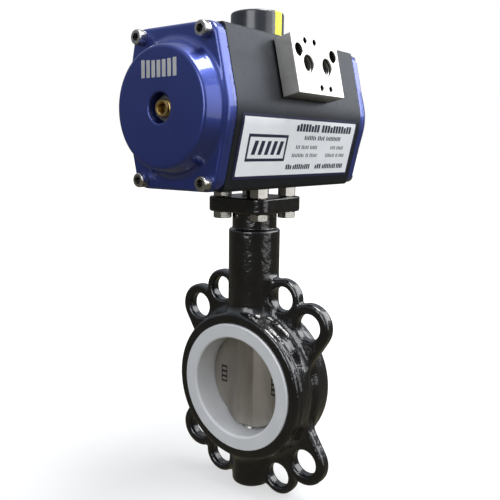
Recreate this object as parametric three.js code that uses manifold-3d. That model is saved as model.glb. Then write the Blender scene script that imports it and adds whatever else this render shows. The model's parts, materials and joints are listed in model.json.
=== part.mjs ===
// A double-acting rack-and-pinion pneumatic actuator, bolted and keyed to a wafer butterfly valve.
// Millimetres, +Z up. The origin is the centre of the valve's bore, where the stem's axis crosses
// the pipe's axis. +X runs along the pipe and along the actuator's cylinder, +Z up the stem, and
// the air manifold and the label face -Y. The valve is shut, with its disc across the pipe.

import * as THREE from "three";
import { mergeVertices } from "three/addons/utils/BufferGeometryUtils.js";
import Module from "manifold-3d";

const wasm = await Module();
wasm.setup();

// ---- Driving dimensions ----

// Clearances
const GAP = 0.1; // between faces that meet
const RUNNING = 0.2; // round a turning shaft, over its facets

// Valve, nominal size 80, wafer pattern
const VALVE_LENGTH = 46; // face to face of the casting
const BORE_R = 39.5; // through the liner
const LINER_R = 46; // outside of the liner, inside the casting
const LINER_FACE_R = 50.7;
const LINER_PROUD = 1.3; // beyond the casting's face
const RIM_R = 60;
const LUG_THICKNESS = 10;
const STEM_R = 7;
const STEM_SQUARE = 11;
const NECK_R = 20;
const NECK_TOP_R = 17.3;
const NECK_SHOULDER_Z = 124;
const HUB_R = 15.5;
const HUB_BOTTOM_Z = -86;
const STEM_BOTTOM_Z = -74;
const BUSH_R = 10;
const TOP_FLANGE_Z = 149;
const TOP_FLANGE_THICKNESS = 11.5;
const TOP_FLANGE_HALF = 27.7;
const TOP_FLANGE_CORNER_R = 9.5;

// The four ears of the casting carry two bolt patterns, on circles of their own.
const LUGS = [
  { angle: 45, circleR: 76.2, holeR: 10.2, bossR: 18, rootR: 24 },
  { angle: 67.5, circleR: 78, holeR: 9.5, bossR: 15.5, rootR: 20 },
];

// Joint between valve and actuator: four bolts on a 50 mm circle
const MOUNT_OFFSET = 50 / 2 / Math.SQRT2;
const BOLT_R = 4;
const HEX_ACROSS_FLATS = 13;
const STANDOFF = 8; // height of the spacer nuts

// Actuator
const BODY_HALF_LENGTH = 80;
const BODY_HALF_HEIGHT = 53;
const SIDE_R = 46.2; // arc along the middle of each side
const SIDE_TILT = THREE.MathUtils.degToRad(12.8); // of the flats above and below that arc
const CYLINDER_R = 40;
const CAP_FLANGE = 9;
const DOME_HEIGHT = 13;
const DOME_BASE_R = 44;
const DOME_FRONT_R = 38.8;
const CAP_RECESS_R = 9.75;
const CAP_RECESS_DEPTH = 10;
const STOP_SCREW = { radius: 5.8, start: 75.8, sunk: 1.8, socket: 6.5 };
const STOP_HOLE_R = STOP_SCREW.radius + 0.3;
const CAP_SCREW_Y = 28.5;
const CAP_SCREW_Z = 47;
const AXIS_Z = TOP_FLANGE_Z + STANDOFF + BODY_HALF_HEIGHT; // of the cylinder

// Rack and pinion
const MODULE = 2.15;
const PINION_TEETH = 14;
const PRESSURE_ANGLE = THREE.MathUtils.degToRad(25);
const PITCH_R = (MODULE * PINION_TEETH) / 2;
const BACKLASH = 0.12; // on each flank
const ADDENDUM = 0.9 * MODULE;
const DEDENDUM = 1.25 * MODULE;
const GEAR_HALF_WIDTH = 10;
const RACK_HALF_WIDTH = 9;
const RACK_BACK_Y = 28;
const STROKE = (PITCH_R * Math.PI) / 2; // a quarter turn
const PISTON_R = 39.7;
const PISTON_THICKNESS = 14;
const PISTON_OUTER_X = 75.5 - STROKE; // outer face, valve shut
const SHAFT_R = 14;
const SHAFT_TOP_R = 12;
const SHAFT_PROUD = 14; // above the actuator's top face

// Indicator
const INDICATOR_R = 19.8;
const INDICATOR_HEIGHT = 20;
const STRIPE_WIDTH = 8;
const STRIPE_DEPTH = 1.2;

// Air manifold, in its own frame on the upper flat of the side
const MANIFOLD = { width: 60, height: 40.3, depth: 13.4, centreZ: 19.5 };
const PORT_SPACING = 24;
const PORT_R = 6;
const PORT_DEPTH = 10;
const PORT_Z = MANIFOLD.centreZ + 0.8;
const MANIFOLD_SCREW = { x: 22.2, z: MANIFOLD.centreZ + 9.55, sunk: 9 };
const INTERFACE_HOLES = [
  [-12.6, 16.8],
  [-0.6, 16.8],
  [0.2, -15.2],
  [12.2, -15.2],
];

// Label, wrapped a little way up the arc from the lower flat
const LABEL_WIDTH = 144;
const LABEL_HEIGHT = 39.5;
const LABEL_ON_ARC = 6;
const LABEL_THICKNESS = 0.4;

// ---- Colours and finishes ----

const finish = (color, roughness, metalness) =>
  new THREE.MeshStandardMaterial({ color, roughness, metalness });
const BLACK_ANODISED = finish(0x2a2c30, 0.45, 0.6);
const BLUE_PAINT = finish(0x1c2a80, 0.2, 0.1);
const BLACK_PAINT = finish(0x0d0d0e, 0.15, 0.1);
const BARE_ALUMINIUM = finish(0xb9b7ae, 0.4, 0.9);
const STAINLESS = finish(0xa8a6a0, 0.3, 1);
const CAST_STAINLESS = finish(0x8a857c, 0.55, 0.9);
const STEEL = finish(0x6f6f72, 0.35, 1);
const WHITE_PTFE = finish(0xd9dbdd, 0.45, 0);
const BLACK_RUBBER = finish(0x161616, 0.8, 0);
const ACETAL = finish(0xe4dfd0, 0.5, 0);
const BRASS = finish(0xa98b52, 0.35, 1);
const BLACK_PLASTIC = finish(0x25272a, 0.4, 0);
const YELLOW_PLASTIC = finish(0xf2ee3c, 0.5, 0);
const LABEL_FILM = finish(0xe9ebf2, 0.5, 0);

// ---- Solids ----

// A closed three.js geometry as a manifold-3d solid, facing outwards.
function solid(geometry) {
  const bare = new THREE.BufferGeometry();
  bare.setAttribute("position", geometry.getAttribute("position"));
  bare.setIndex(geometry.index);
  const merged = mergeVertices(bare, 1e-4);
  const kept = [];
  for (let i = 0; i < merged.index.count; i += 3) {
    const [a, b, c] = [0, 1, 2].map((k) => merged.index.getX(i + k));
    if (a !== b && b !== c && c !== a) kept.push([a, b, c]);
  }
  const build = (faces) =>
    new wasm.Manifold(
      new wasm.Mesh({
        numProp: 3,
        vertProperties: merged.attributes.position.array,
        triVerts: new Uint32Array(faces.flat()),
      }),
    );
  const made = build(kept);
  return made.volume() < 0 ? build(kept.map(([a, b, c]) => [a, c, b])) : made;
}

const join = (...solids) => solids.reduce((whole, next) => whole.add(next));
const cut = (whole, ...tools) => tools.reduce((left, tool) => left.subtract(tool), whole);

function geometryOf(made) {
  const mesh = made.getMesh();
  const geometry = new THREE.BufferGeometry();
  geometry.setAttribute("position", new THREE.BufferAttribute(mesh.vertProperties, 3));
  geometry.setIndex(new THREE.BufferAttribute(mesh.triVerts, 1));
  geometry.computeVertexNormals();
  return geometry;
}

function piece(name, made, material) {
  const mesh = new THREE.Mesh(geometryOf(made), material);
  mesh.name = name;
  return mesh;
}

const segmentsFor = (radius) => (radius < 4 ? 8 : radius < 8 ? 14 : radius < 22 ? 20 : 32);

// Turns a geometry made along +Z so that it lies along another axis, its own X and Y following on.
const AXIS_FRAMES = {
  x: [new THREE.Vector3(0, 1, 0), new THREE.Vector3(0, 0, 1), new THREE.Vector3(1, 0, 0)],
  y: [new THREE.Vector3(1, 0, 0), new THREE.Vector3(0, 0, 1), new THREE.Vector3(0, -1, 0)],
  z: [new THREE.Vector3(1, 0, 0), new THREE.Vector3(0, 1, 0), new THREE.Vector3(0, 0, 1)],
};
const along = (axis, geometry) =>
  geometry.applyMatrix4(new THREE.Matrix4().makeBasis(...AXIS_FRAMES[axis]));

// A round bar along an axis, centred on (u, v) of the plane across it. Along y it runs from
// -from to -to, so that its numbers are depths towards the viewer of the -Y side.
function bar(axis, radius, from, to, [u, v] = [0, 0], segments = segmentsFor(radius)) {
  const geometry = new THREE.CylinderGeometry(radius, radius, to - from, segments);
  geometry.rotateX(Math.PI / 2).translate(u, v, (from + to) / 2);
  return solid(along(axis, geometry));
}

const prism = (axis, shape, from, to, curveSegments = 12) =>
  solid(
    along(
      axis,
      new THREE.ExtrudeGeometry(shape, {
        depth: to - from,
        bevelEnabled: false,
        curveSegments,
      }).translate(0, 0, from),
    ),
  );

const block = (sizeX, sizeY, sizeZ, x, y, z) =>
  solid(new THREE.BoxGeometry(sizeX, sizeY, sizeZ).translate(x, y, z));

// A profile of [radius, place along the axis] points, turned once round the axis.
function turned(axis, profile, segments = 32) {
  const points = [...profile, profile[0]].map(([r, h]) => new THREE.Vector2(r, h));
  return solid(along(axis, new THREE.LatheGeometry(points, segments).rotateX(Math.PI / 2)));
}

const ring = (axis, innerR, outerR, from, to, segments = segmentsFor(outerR)) =>
  turned(axis, [[innerR, from], [outerR, from], [outerR, to], [innerR, to]], segments);

function seal(axis, centreR, sectionR, at, segments = 32) {
  const sides = 4;
  const profile = Array.from({ length: sides }, (_, i) => {
    const turn = (i * 2 * Math.PI) / sides;
    return [centreR + sectionR * Math.cos(turn), at + sectionR * Math.sin(turn)];
  });
  return turned(axis, profile, segments);
}

function hexagon(acrossFlats) {
  const corner = acrossFlats / 2 / Math.cos(Math.PI / 6);
  return new THREE.Shape(
    Array.from({ length: 6 }, (_, i) => {
      const turn = ((i + 0.5) * Math.PI) / 3;
      return new THREE.Vector2(corner * Math.cos(turn), corner * Math.sin(turn));
    }),
  );
}

function roundedRectangle(width, height, radius) {
  const [x, y] = [width / 2, height / 2];
  const shape = new THREE.Shape();
  shape.absarc(x - radius, y - radius, radius, 0, Math.PI / 2);
  shape.absarc(-x + radius, y - radius, radius, Math.PI / 2, Math.PI);
  shape.absarc(-x + radius, -y + radius, radius, Math.PI, 1.5 * Math.PI);
  shape.absarc(x - radius, -y + radius, radius, 1.5 * Math.PI, 2 * Math.PI);
  return shape;
}

// A bar that tapers between two circles, with straight sides tangent to both.
function tapered(centreA, radiusA, centreB, radiusB) {
  const between = new THREE.Vector2().subVectors(centreB, centreA);
  const heading = between.angle();
  const spread = Math.acos((radiusA - radiusB) / between.length());
  const shape = new THREE.Shape();
  const { x: ax, y: ay } = centreA;
  const { x: bx, y: by } = centreB;
  shape.absarc(ax, ay, radiusA, heading + spread, heading - spread + 2 * Math.PI);
  shape.absarc(bx, by, radiusB, heading - spread, heading + spread);
  return shape;
}

// A hexagon-socket cap screw along +X, with the underside of its head at x = 0.
function capScrew({ headR, headHeight, shankR, shankLength, socket }) {
  return cut(
    join(bar("x", headR, 0, headHeight), bar("x", shankR, -shankLength, 0.5)),
    prism("x", hexagon(socket), headHeight / 2, headHeight + 1),
  );
}

// ---- Actuator housing ----

// The side of the extrusion: a flat, an arc about the cylinder's axis, and a second flat, between
// a flat top and bottom. Corners are rounded by about the given radius.
function bodyOutline(corner) {
  const topY =
    (SIDE_R - BODY_HALF_HEIGHT * Math.sin(SIDE_TILT)) / Math.cos(SIDE_TILT);
  const high = BODY_HALF_HEIGHT;
  const slope = new THREE.Vector2(Math.sin(SIDE_TILT), Math.cos(SIDE_TILT)).multiplyScalar(corner);
  const shape = new THREE.Shape();
  shape.moveTo(topY + slope.x, high - slope.y);
  shape.quadraticCurveTo(topY, high, topY - corner, high);
  shape.lineTo(-topY + corner, high);
  shape.quadraticCurveTo(-topY, high, -topY - slope.x, high - slope.y);
  shape.absarc(0, 0, SIDE_R, Math.PI - SIDE_TILT, Math.PI + SIDE_TILT);
  shape.lineTo(-topY - slope.x, -high + slope.y);
  shape.quadraticCurveTo(-topY, -high, -topY + corner, -high);
  shape.lineTo(topY - corner, -high);
  shape.quadraticCurveTo(topY, -high, topY + slope.x, -high + slope.y);
  shape.absarc(0, 0, SIDE_R, -SIDE_TILT, SIDE_TILT);
  return shape;
}

const CORNERS = [
  [1, 1],
  [-1, 1],
  [-1, -1],
  [1, -1],
];
const AIR_CHANNEL = { depth: 41.3, z: PORT_Z + 3, radius: 2.2 }; // runs the length of the wall

// Moves a point of the manifold's tilted frame into the housing's own frame.
const tilted = (made) => made.rotate([-THREE.MathUtils.radToDeg(SIDE_TILT), 0, 0]);

function housingBody() {
  const ends = [1, -1].flatMap((end) =>
    CORNERS.map(([y, z]) => {
      const [from, to] = [BODY_HALF_LENGTH - 18, BODY_HALF_LENGTH + 1];
      const place = [y * CAP_SCREW_Y, z * CAP_SCREW_Z];
      return end > 0 ? bar("x", 3.3, from, to, place) : bar("x", 3.3, -to, -from, place);
    }),
  );
  const topHoles = CORNERS.map(([x, y]) =>
    bar("z", 2.2, BODY_HALF_HEIGHT - 8, BODY_HALF_HEIGHT + 1, [x * 40, y * 15]),
  );
  const mountHoles = CORNERS.map(([x, y]) =>
    bar("z", BOLT_R + 0.3, -BODY_HALF_HEIGHT - 1, -BODY_HALF_HEIGHT + 12,
      [x * MOUNT_OFFSET, y * MOUNT_OFFSET]),
  );
  const sideHoles = tilted(
    join(
      bar("y", 2, 30, SIDE_R + 1, [-PORT_SPACING / 2, PORT_Z - 2]),
      bar("y", 2.5, AIR_CHANNEL.depth, SIDE_R + 1, [PORT_SPACING / 2, PORT_Z]),
      bar("x", AIR_CHANNEL.radius, -BODY_HALF_LENGTH - 1, BODY_HALF_LENGTH + 1,
        [-AIR_CHANNEL.depth, AIR_CHANNEL.z]),
      bar("y", 2.7, SIDE_R - 10, SIDE_R + 1, [-MANIFOLD_SCREW.x, MANIFOLD_SCREW.z]),
      bar("y", 2.7, SIDE_R - 10, SIDE_R + 1, [MANIFOLD_SCREW.x, MANIFOLD_SCREW.z]),
    ),
  );
  return cut(
    prism("x", bodyOutline(3), -BODY_HALF_LENGTH, BODY_HALF_LENGTH, 4),
    bar("x", CYLINDER_R, -BODY_HALF_LENGTH - 1, BODY_HALF_LENGTH + 1),
    bar("z", BUSH_OUTER_TOP_R + GAP, 0, BODY_HALF_HEIGHT + 1),
    bar("z", BUSH_OUTER_BOTTOM_R + GAP, -BODY_HALF_HEIGHT - 1, 0),
    sideHoles,
    ...ends,
    ...topHoles,
    ...mountHoles,
  );
}

const CAP_INNER_X = BODY_HALF_LENGTH + GAP;
const CAP_FLANGE_X = BODY_HALF_LENGTH + CAP_FLANGE;
const CAP_FRONT_X = CAP_FLANGE_X + DOME_HEIGHT;
const RECESS_FLOOR_X = CAP_FRONT_X - CAP_RECESS_DEPTH;
const SPIGOT = { length: 4, outerR: 39.6, innerR: 35, grooveR: 37.4 };

// A dished cap: a flange that matches the extrusion, a hollow dome, a spigot that enters the
// cylinder, and a central boss for the stop screw.
function endCap() {
  const spigotEnd = BODY_HALF_LENGTH - SPIGOT.length;
  const dish = turned("x", [
    [STOP_HOLE_R, RECESS_FLOOR_X - 8],
    [13, RECESS_FLOOR_X - 8],
    [13, CAP_FRONT_X - 6],
    [33, CAP_FRONT_X - 6],
    [SPIGOT.innerR, CAP_FLANGE_X],
    [SPIGOT.innerR, spigotEnd],
    [SPIGOT.outerR, spigotEnd],
    [SPIGOT.outerR, spigotEnd + 0.5],
    [SPIGOT.grooveR, spigotEnd + 0.5],
    [SPIGOT.grooveR, spigotEnd + 3.3],
    [SPIGOT.outerR, spigotEnd + 3.3],
    [SPIGOT.outerR, CAP_INNER_X],
    [DOME_BASE_R, CAP_INNER_X],
    [DOME_BASE_R, CAP_FLANGE_X],
    [DOME_FRONT_R + 1.4, CAP_FRONT_X - 2],
    [DOME_FRONT_R - 0.3, CAP_FRONT_X],
    [CAP_RECESS_R, CAP_FRONT_X],
    [CAP_RECESS_R, RECESS_FLOOR_X],
    [STOP_HOLE_R, RECESS_FLOOR_X],
  ]);
  const outline = bodyOutline(6);
  const flange = prism("x", outline, CAP_INNER_X, CAP_FLANGE_X, 3);
  const screwHoles = CORNERS.map(([y, z]) =>
    bar("x", 3.3, BODY_HALF_LENGTH - 1, CAP_FLANGE_X + 1, [y * CAP_SCREW_Y, z * CAP_SCREW_Z]),
  );
  const airSlot = tilted(
    block(7, 16, 3, CAP_INNER_X - 1.7, -AIR_CHANNEL.depth + 5.5, AIR_CHANNEL.z),
  );
  const middle = bar("x", DOME_BASE_R - 2, CAP_INNER_X - 1, CAP_FLANGE_X + 1);
  return cut(join(dish, cut(flange, middle)), airSlot, ...screwHoles);
}

const stopScrew = () =>
  cut(
    bar("x", STOP_SCREW.radius, STOP_SCREW.start, CAP_FRONT_X - STOP_SCREW.sunk),
    prism("x", hexagon(STOP_SCREW.socket), CAP_FRONT_X - 7, CAP_FRONT_X),
  );

const lockNut = () =>
  cut(
    prism("x", hexagon(16), RECESS_FLOOR_X + GAP, RECESS_FLOOR_X + 5),
    bar("x", STOP_HOLE_R, RECESS_FLOOR_X - 1, RECESS_FLOOR_X + 6),
  );

// ---- Rack and pinion ----

const involute = (angle) => Math.tan(angle) - angle;

// Half the angle that a tooth fills at a radius, on or above the base circle.
function toothHalfAngle(radius) {
  const baseR = PITCH_R * Math.cos(PRESSURE_ANGLE);
  const atRadius = Math.acos(Math.min(1, baseR / radius));
  const atPitch = Math.PI / 2 / PINION_TEETH - BACKLASH / PITCH_R;
  return atPitch + involute(PRESSURE_ANGLE) - involute(atRadius);
}

function pinionOutline() {
  const baseR = PITCH_R * Math.cos(PRESSURE_ANGLE);
  const tipR = PITCH_R + ADDENDUM;
  const radii = [PITCH_R - DEDENDUM, baseR, PITCH_R, tipR];
  const points = [];
  for (let tooth = 0; tooth < PINION_TEETH; tooth++) {
    const centre = Math.PI / 2 + (tooth * 2 * Math.PI) / PINION_TEETH;
    for (const r of radii) points.push([r, centre - toothHalfAngle(r)]);
    for (const r of [...radii].reverse()) points.push([r, centre + toothHalfAngle(r)]);
  }
  return new THREE.Shape(
    points.map(([r, turn]) => new THREE.Vector2(r * Math.cos(turn), r * Math.sin(turn))),
  );
}

// The rack on the -Y side, whose teeth point towards the pinion. A tooth space lies at x = 0.
function rackOutline(fromX, toX) {
  const pitch = Math.PI * MODULE;
  const slope = Math.tan(PRESSURE_ANGLE);
  const rootY = -(PITCH_R + DEDENDUM);
  const tipY = -(PITCH_R - ADDENDUM);
  const halfAtPitch = pitch / 4 - BACKLASH;
  const shape = new THREE.Shape();
  shape.moveTo(toX, rootY);
  for (let centre = -pitch / 2 + pitch * 8; centre - pitch / 2 > fromX; centre -= pitch) {
    if (centre + pitch / 2 > toX) continue;
    const root = halfAtPitch + DEDENDUM * slope;
    const tip = halfAtPitch - ADDENDUM * slope;
    shape.lineTo(centre + root, rootY);
    shape.lineTo(centre + tip, tipY);
    shape.lineTo(centre - tip, tipY);
    shape.lineTo(centre - root, rootY);
  }
  shape.lineTo(fromX, rootY);
  shape.lineTo(fromX, -RACK_BACK_Y);
  shape.lineTo(toX, -RACK_BACK_Y);
  return shape;
}

const PISTON_INNER_X = PISTON_OUTER_X - PISTON_THICKNESS;
const RACK_END_X = -33;
const PISTON_SEAL_X = (PISTON_INNER_X + PISTON_OUTER_X) / 2;

// The piston on the +X side, with its rack reaching past the pinion on the -Y side.
function piston() {
  const inner = PISTON_INNER_X;
  const head = turned("x", [
    [0, inner],
    [PISTON_R, inner],
    [PISTON_R, PISTON_SEAL_X - 2.2],
    [PISTON_R - 3.7, PISTON_SEAL_X - 2.2],
    [PISTON_R - 3.7, PISTON_SEAL_X + 2.2],
    [PISTON_R, PISTON_SEAL_X + 2.2],
    [PISTON_R, PISTON_OUTER_X],
    [0, PISTON_OUTER_X],
  ]);
  const rack = prism("z", rackOutline(RACK_END_X, inner + 1), -RACK_HALF_WIDTH, RACK_HALF_WIDTH);
  return join(head, rack);
}

const pistonSeal = () => seal("x", PISTON_R - 1.75, 1.85, PISTON_SEAL_X);

// A pad set against the rack's back, which slides along the cylinder's wall.
const rackGuide = () => block(30, 10.8, 14, -10, -RACK_BACK_Y - GAP - 5.4, 0);

const BUSH_OUTER_TOP_R = 16.5;
const BUSH_OUTER_BOTTOM_R = 17;
const PINION_TOP = BODY_HALF_HEIGHT + SHAFT_PROUD;
const RETAINER_Z = BODY_HALF_HEIGHT + 2;

function pinion() {
  const shaft = turned("z", [
    [0, -BODY_HALF_HEIGHT + 0.5],
    [SHAFT_R, -BODY_HALF_HEIGHT + 0.5],
    [SHAFT_R, -49],
    [SHAFT_R - 2, -49],
    [SHAFT_R - 2, -46],
    [SHAFT_R, -46],
    [SHAFT_R, 38],
    [SHAFT_TOP_R, 38],
    [SHAFT_TOP_R, 44],
    [SHAFT_TOP_R - 2, 44],
    [SHAFT_TOP_R - 2, 47],
    [SHAFT_TOP_R, 47],
    [SHAFT_TOP_R, RETAINER_Z],
    [SHAFT_TOP_R - 1, RETAINER_Z],
    [SHAFT_TOP_R - 1, RETAINER_Z + 1.5],
    [SHAFT_TOP_R, RETAINER_Z + 1.5],
    [SHAFT_TOP_R, PINION_TOP],
    [0, PINION_TOP],
  ], 20);
  const toothBand = ring("z", PITCH_R - DEDENDUM - 2, SHAFT_R + 6, -GEAR_HALF_WIDTH, GEAR_HALF_WIDTH);
  const teeth = prism("z", pinionOutline(), -GEAR_HALF_WIDTH, GEAR_HALF_WIDTH);
  const socketTop = -BODY_HALF_HEIGHT + 20;
  const square = STEM_SQUARE + 0.6;
  const socket = block(square, square, 40, 0, 0, socketTop - 20);
  return cut(
    join(cut(shaft, toothBand), teeth),
    socket,
    bar("z", 2.6, PINION_TOP - 12, PINION_TOP + 1),
  );
}

function retainingRing() {
  const whole = ring("z", SHAFT_TOP_R - 0.8, SHAFT_TOP_R + 3, RETAINER_Z + 0.1, RETAINER_Z + 1.4);
  return cut(whole, block(5, 10, 4, 0, SHAFT_TOP_R + 2, RETAINER_Z));
}

// ---- Indicator ----

const INDICATOR_BOTTOM = BODY_HALF_HEIGHT + 1;
const INDICATOR_TOP = INDICATOR_BOTTOM + INDICATOR_HEIGHT;
const indicatorEnvelope = (outerR, top, edge) =>
  turned("z", [
    [0, INDICATOR_BOTTOM],
    [outerR, INDICATOR_BOTTOM],
    [outerR, top - edge],
    [outerR - edge * 0.3, top - edge * 0.3],
    [outerR - edge, top],
    [0, top],
  ]);

// Where the stripe lies, as far out as the given solid reaches.
const stripeBand = (width) =>
  block(width, 3 * INDICATOR_R, INDICATOR_HEIGHT + 2, 0, 0, (INDICATOR_BOTTOM + INDICATOR_TOP) / 2);

// The stripe's top widens into an eye round the screw's pocket.
const stripeEye = (radius) => bar("z", radius, INDICATOR_TOP - 5, INDICATOR_TOP + 1);
const screwPocket = () => bar("z", 5.2, INDICATOR_TOP - 4, INDICATOR_TOP + 1);

function indicatorCap() {
  const whole = indicatorEnvelope(INDICATOR_R, INDICATOR_TOP, 1.5);
  const core = indicatorEnvelope(INDICATOR_R - STRIPE_DEPTH - GAP, INDICATOR_TOP - STRIPE_DEPTH - GAP, 1);
  return cut(
    whole,
    cut(join(stripeBand(STRIPE_WIDTH + 2 * GAP), stripeEye(7.6 + GAP)), core),
    bar("z", 17.8, 0, RETAINER_Z + 4),
    bar("z", SHAFT_TOP_R + GAP, 0, PINION_TOP + GAP),
    bar("z", 2.8, PINION_TOP - 1, INDICATOR_TOP),
    screwPocket(),
  );
}

function indicatorStripe() {
  const whole = indicatorEnvelope(INDICATOR_R, INDICATOR_TOP, 1.5);
  const core = indicatorEnvelope(INDICATOR_R - STRIPE_DEPTH, INDICATOR_TOP - STRIPE_DEPTH, 1);
  const below = bar("z", INDICATOR_R - STRIPE_DEPTH, 0, INDICATOR_BOTTOM + 5, [0, 0], 48);
  const band = join(stripeBand(STRIPE_WIDTH), stripeEye(7.6));
  return cut(whole.intersect(band), core, below, screwPocket());
}

const indicatorScrew = () =>
  join(
    bar("z", 5, INDICATOR_TOP - 3.9, INDICATOR_TOP - 0.9),
    bar("z", 2.4, PINION_TOP - 10, INDICATOR_TOP - 3),
  );

// ---- Air manifold and label ----

const MANIFOLD_BACK = SIDE_R + 0.8;
const MANIFOLD_FRONT = MANIFOLD_BACK + MANIFOLD.depth;

function manifoldBlock() {
  const plate = roundedRectangle(MANIFOLD.width, MANIFOLD.height, 0.8);
  const front = MANIFOLD_FRONT + 1;
  const tools = [-1, 1].flatMap((side) => [
    bar("y", PORT_R, MANIFOLD_FRONT - PORT_DEPTH, front, [(side * PORT_SPACING) / 2, PORT_Z], 20),
    bar("y", 3, MANIFOLD_BACK - 1, front, [(side * PORT_SPACING) / 2, PORT_Z]),
    bar("y", 4.5, MANIFOLD_FRONT - MANIFOLD_SCREW.sunk, front, [side * MANIFOLD_SCREW.x, MANIFOLD_SCREW.z]),
    bar("y", 2.8, MANIFOLD_BACK - 1, front, [side * MANIFOLD_SCREW.x, MANIFOLD_SCREW.z]),
  ]);
  const tapped = INTERFACE_HOLES.map(([x, z]) =>
    bar("y", 2.3, MANIFOLD_FRONT - 8, front, [x, MANIFOLD.centreZ + z]),
  );
  const centred = prism("y", plate, MANIFOLD_BACK, MANIFOLD_FRONT, 3);
  return cut(centred.translate([0, 0, MANIFOLD.centreZ]), ...tools, ...tapped);
}

function manifoldGasket() {
  const plate = roundedRectangle(MANIFOLD.width - 3, MANIFOLD.height - 3, 2);
  const holes = [-1, 1].flatMap((side) => [
    bar("y", 3.2, 0, MANIFOLD_FRONT, [(side * PORT_SPACING) / 2, PORT_Z]),
    bar("y", 3, 0, MANIFOLD_FRONT, [side * MANIFOLD_SCREW.x, MANIFOLD_SCREW.z]),
  ]);
  const sheet = prism("y", plate, SIDE_R + GAP, MANIFOLD_BACK - GAP, 3);
  return cut(sheet.translate([0, 0, MANIFOLD.centreZ]), ...holes);
}

// The label's section across the body: an arc that starts on the side's own arc, and a straight
// stretch down the lower flat.
function labelPlate() {
  const inner = SIDE_R + GAP;
  const outer = inner + LABEL_THICKNESS;
  const start = Math.PI + SIDE_TILT - LABEL_ON_ARC / SIDE_R;
  const end = Math.PI + SIDE_TILT;
  const straight = LABEL_HEIGHT - LABEL_ON_ARC;
  const down = new THREE.Vector2(Math.sin(SIDE_TILT), -Math.cos(SIDE_TILT)).multiplyScalar(straight);
  const at = (radius) => new THREE.Vector2(radius * Math.cos(end), radius * Math.sin(end)).add(down);
  const shape = new THREE.Shape();
  shape.absarc(0, 0, outer, start, end);
  shape.lineTo(at(outer).x, at(outer).y);
  shape.lineTo(at(inner).x, at(inner).y);
  shape.absarc(0, 0, inner, end, start, true);
  return prism("x", shape, -LABEL_WIDTH / 2, LABEL_WIDTH / 2, 4);
}

// ---- Valve ----

const polar = (radius, degrees) => {
  const turn = THREE.MathUtils.degToRad(degrees);
  return new THREE.Vector2(radius * Math.cos(turn), radius * Math.sin(turn));
};

// Each ear joins two bosses to the rim. Sides says which corner it stands on.
function ear([sideY, sideZ]) {
  const place = (radius, degrees) => polar(radius, degrees).multiply(new THREE.Vector2(sideY, sideZ));
  const half = LUG_THICKNESS / 2;
  return join(
    ...LUGS.map(({ angle, circleR, bossR, rootR }) =>
      prism("x", tapered(place(50, angle), rootR, place(circleR, angle), bossR), -half, half, 4),
    ),
  );
}

function earHoles([sideY, sideZ]) {
  return LUGS.map(({ angle, circleR, holeR }) => {
    const centre = polar(circleR, angle);
    return bar("x", holeR, -LUG_THICKNESS, LUG_THICKNESS, [sideY * centre.x, sideZ * centre.y], 16);
  });
}

function valveBody() {
  const face = VALVE_LENGTH / 2;
  const rim = turned("x", [
    [LINER_R - 1, -face],
    [RIM_R - 1.2, -face],
    [RIM_R, -face / 2],
    [RIM_R - 2.5, 0],
    [RIM_R, face / 2],
    [RIM_R - 1.2, face],
    [LINER_R - 1, face],
  ], 36);
  const topPlate = roundedRectangle(2 * TOP_FLANGE_HALF, 2 * TOP_FLANGE_HALF, TOP_FLANGE_CORNER_R);
  const flangeBottom = TOP_FLANGE_Z - TOP_FLANGE_THICKNESS;
  const solids = [
    rim,
    bar("z", NECK_R, 50, NECK_SHOULDER_Z),
    bar("z", NECK_TOP_R, 50, flangeBottom + 1),
    prism("z", topPlate, flangeBottom, TOP_FLANGE_Z, 3),
    bar("z", HUB_R, HUB_BOTTOM_Z, -50),
    ...CORNERS.map(ear),
  ];
  const recess = face - 1.2;
  const holes = [
    ...[
      [LINER_R + GAP, -face - 1, face + 1],
      [LINER_FACE_R + 0.3, recess, face + 1],
      [LINER_FACE_R + 0.3, -face - 1, -recess],
    ].map(([radius, from, to]) => bar("x", radius, from, to, [0, 0], 36)),
    bar("z", STEM_R + 0.5, STEM_BOTTOM_Z, TOP_FLANGE_Z + 1),
    bar("z", BUSH_R + GAP, 90, TOP_FLANGE_Z + 1),
    bar("z", BUSH_R + GAP, HUB_BOTTOM_Z - 1, -56),
    ...CORNERS.flatMap(earHoles),
    ...CORNERS.map(([x, y]) =>
      bar("z", BOLT_R + 0.4, flangeBottom - 1, TOP_FLANGE_Z + 1, [x * MOUNT_OFFSET, y * MOUNT_OFFSET]),
    ),
  ];
  return cut(join(...solids), ...holes);
}

// The liner lines the bore and turns out over both faces, with a soft inner edge.
function seatLiner() {
  const face = VALVE_LENGTH / 2 + LINER_PROUD;
  const lip = VALVE_LENGTH / 2 - 1.2 + GAP;
  const softR = 4;
  const corner = [0, 45, 90].map((degrees) => {
    const offset = polar(softR, degrees);
    return [BORE_R + softR - offset.x, face - softR + offset.y];
  });
  const half = [...corner, [LINER_FACE_R - 0.8, face], [LINER_FACE_R, face - 0.8], [LINER_FACE_R, lip],
    [LINER_R, lip]];
  const mirrored = [...half].reverse().map(([r, x]) => [r, -x]);
  return cut(turned("x", [...half, ...mirrored], 36), bar("z", STEM_R + 0.5, -60, 60));
}

const DISC_R = 39.1;
const DISC_HUB_HALF = 36.2;
const DISC_HUB_WITHIN = 38.4; // the circle about the pipe's axis that the hub's ends keep inside
const DISC_HUB_QUARTER = [[9.5, 8.5], [4.5, 21]]; // flat over the stem, then sloping down to the plate
const DRIVE_FLAT = 6; // half the width across the stem's flats inside the disc

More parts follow.
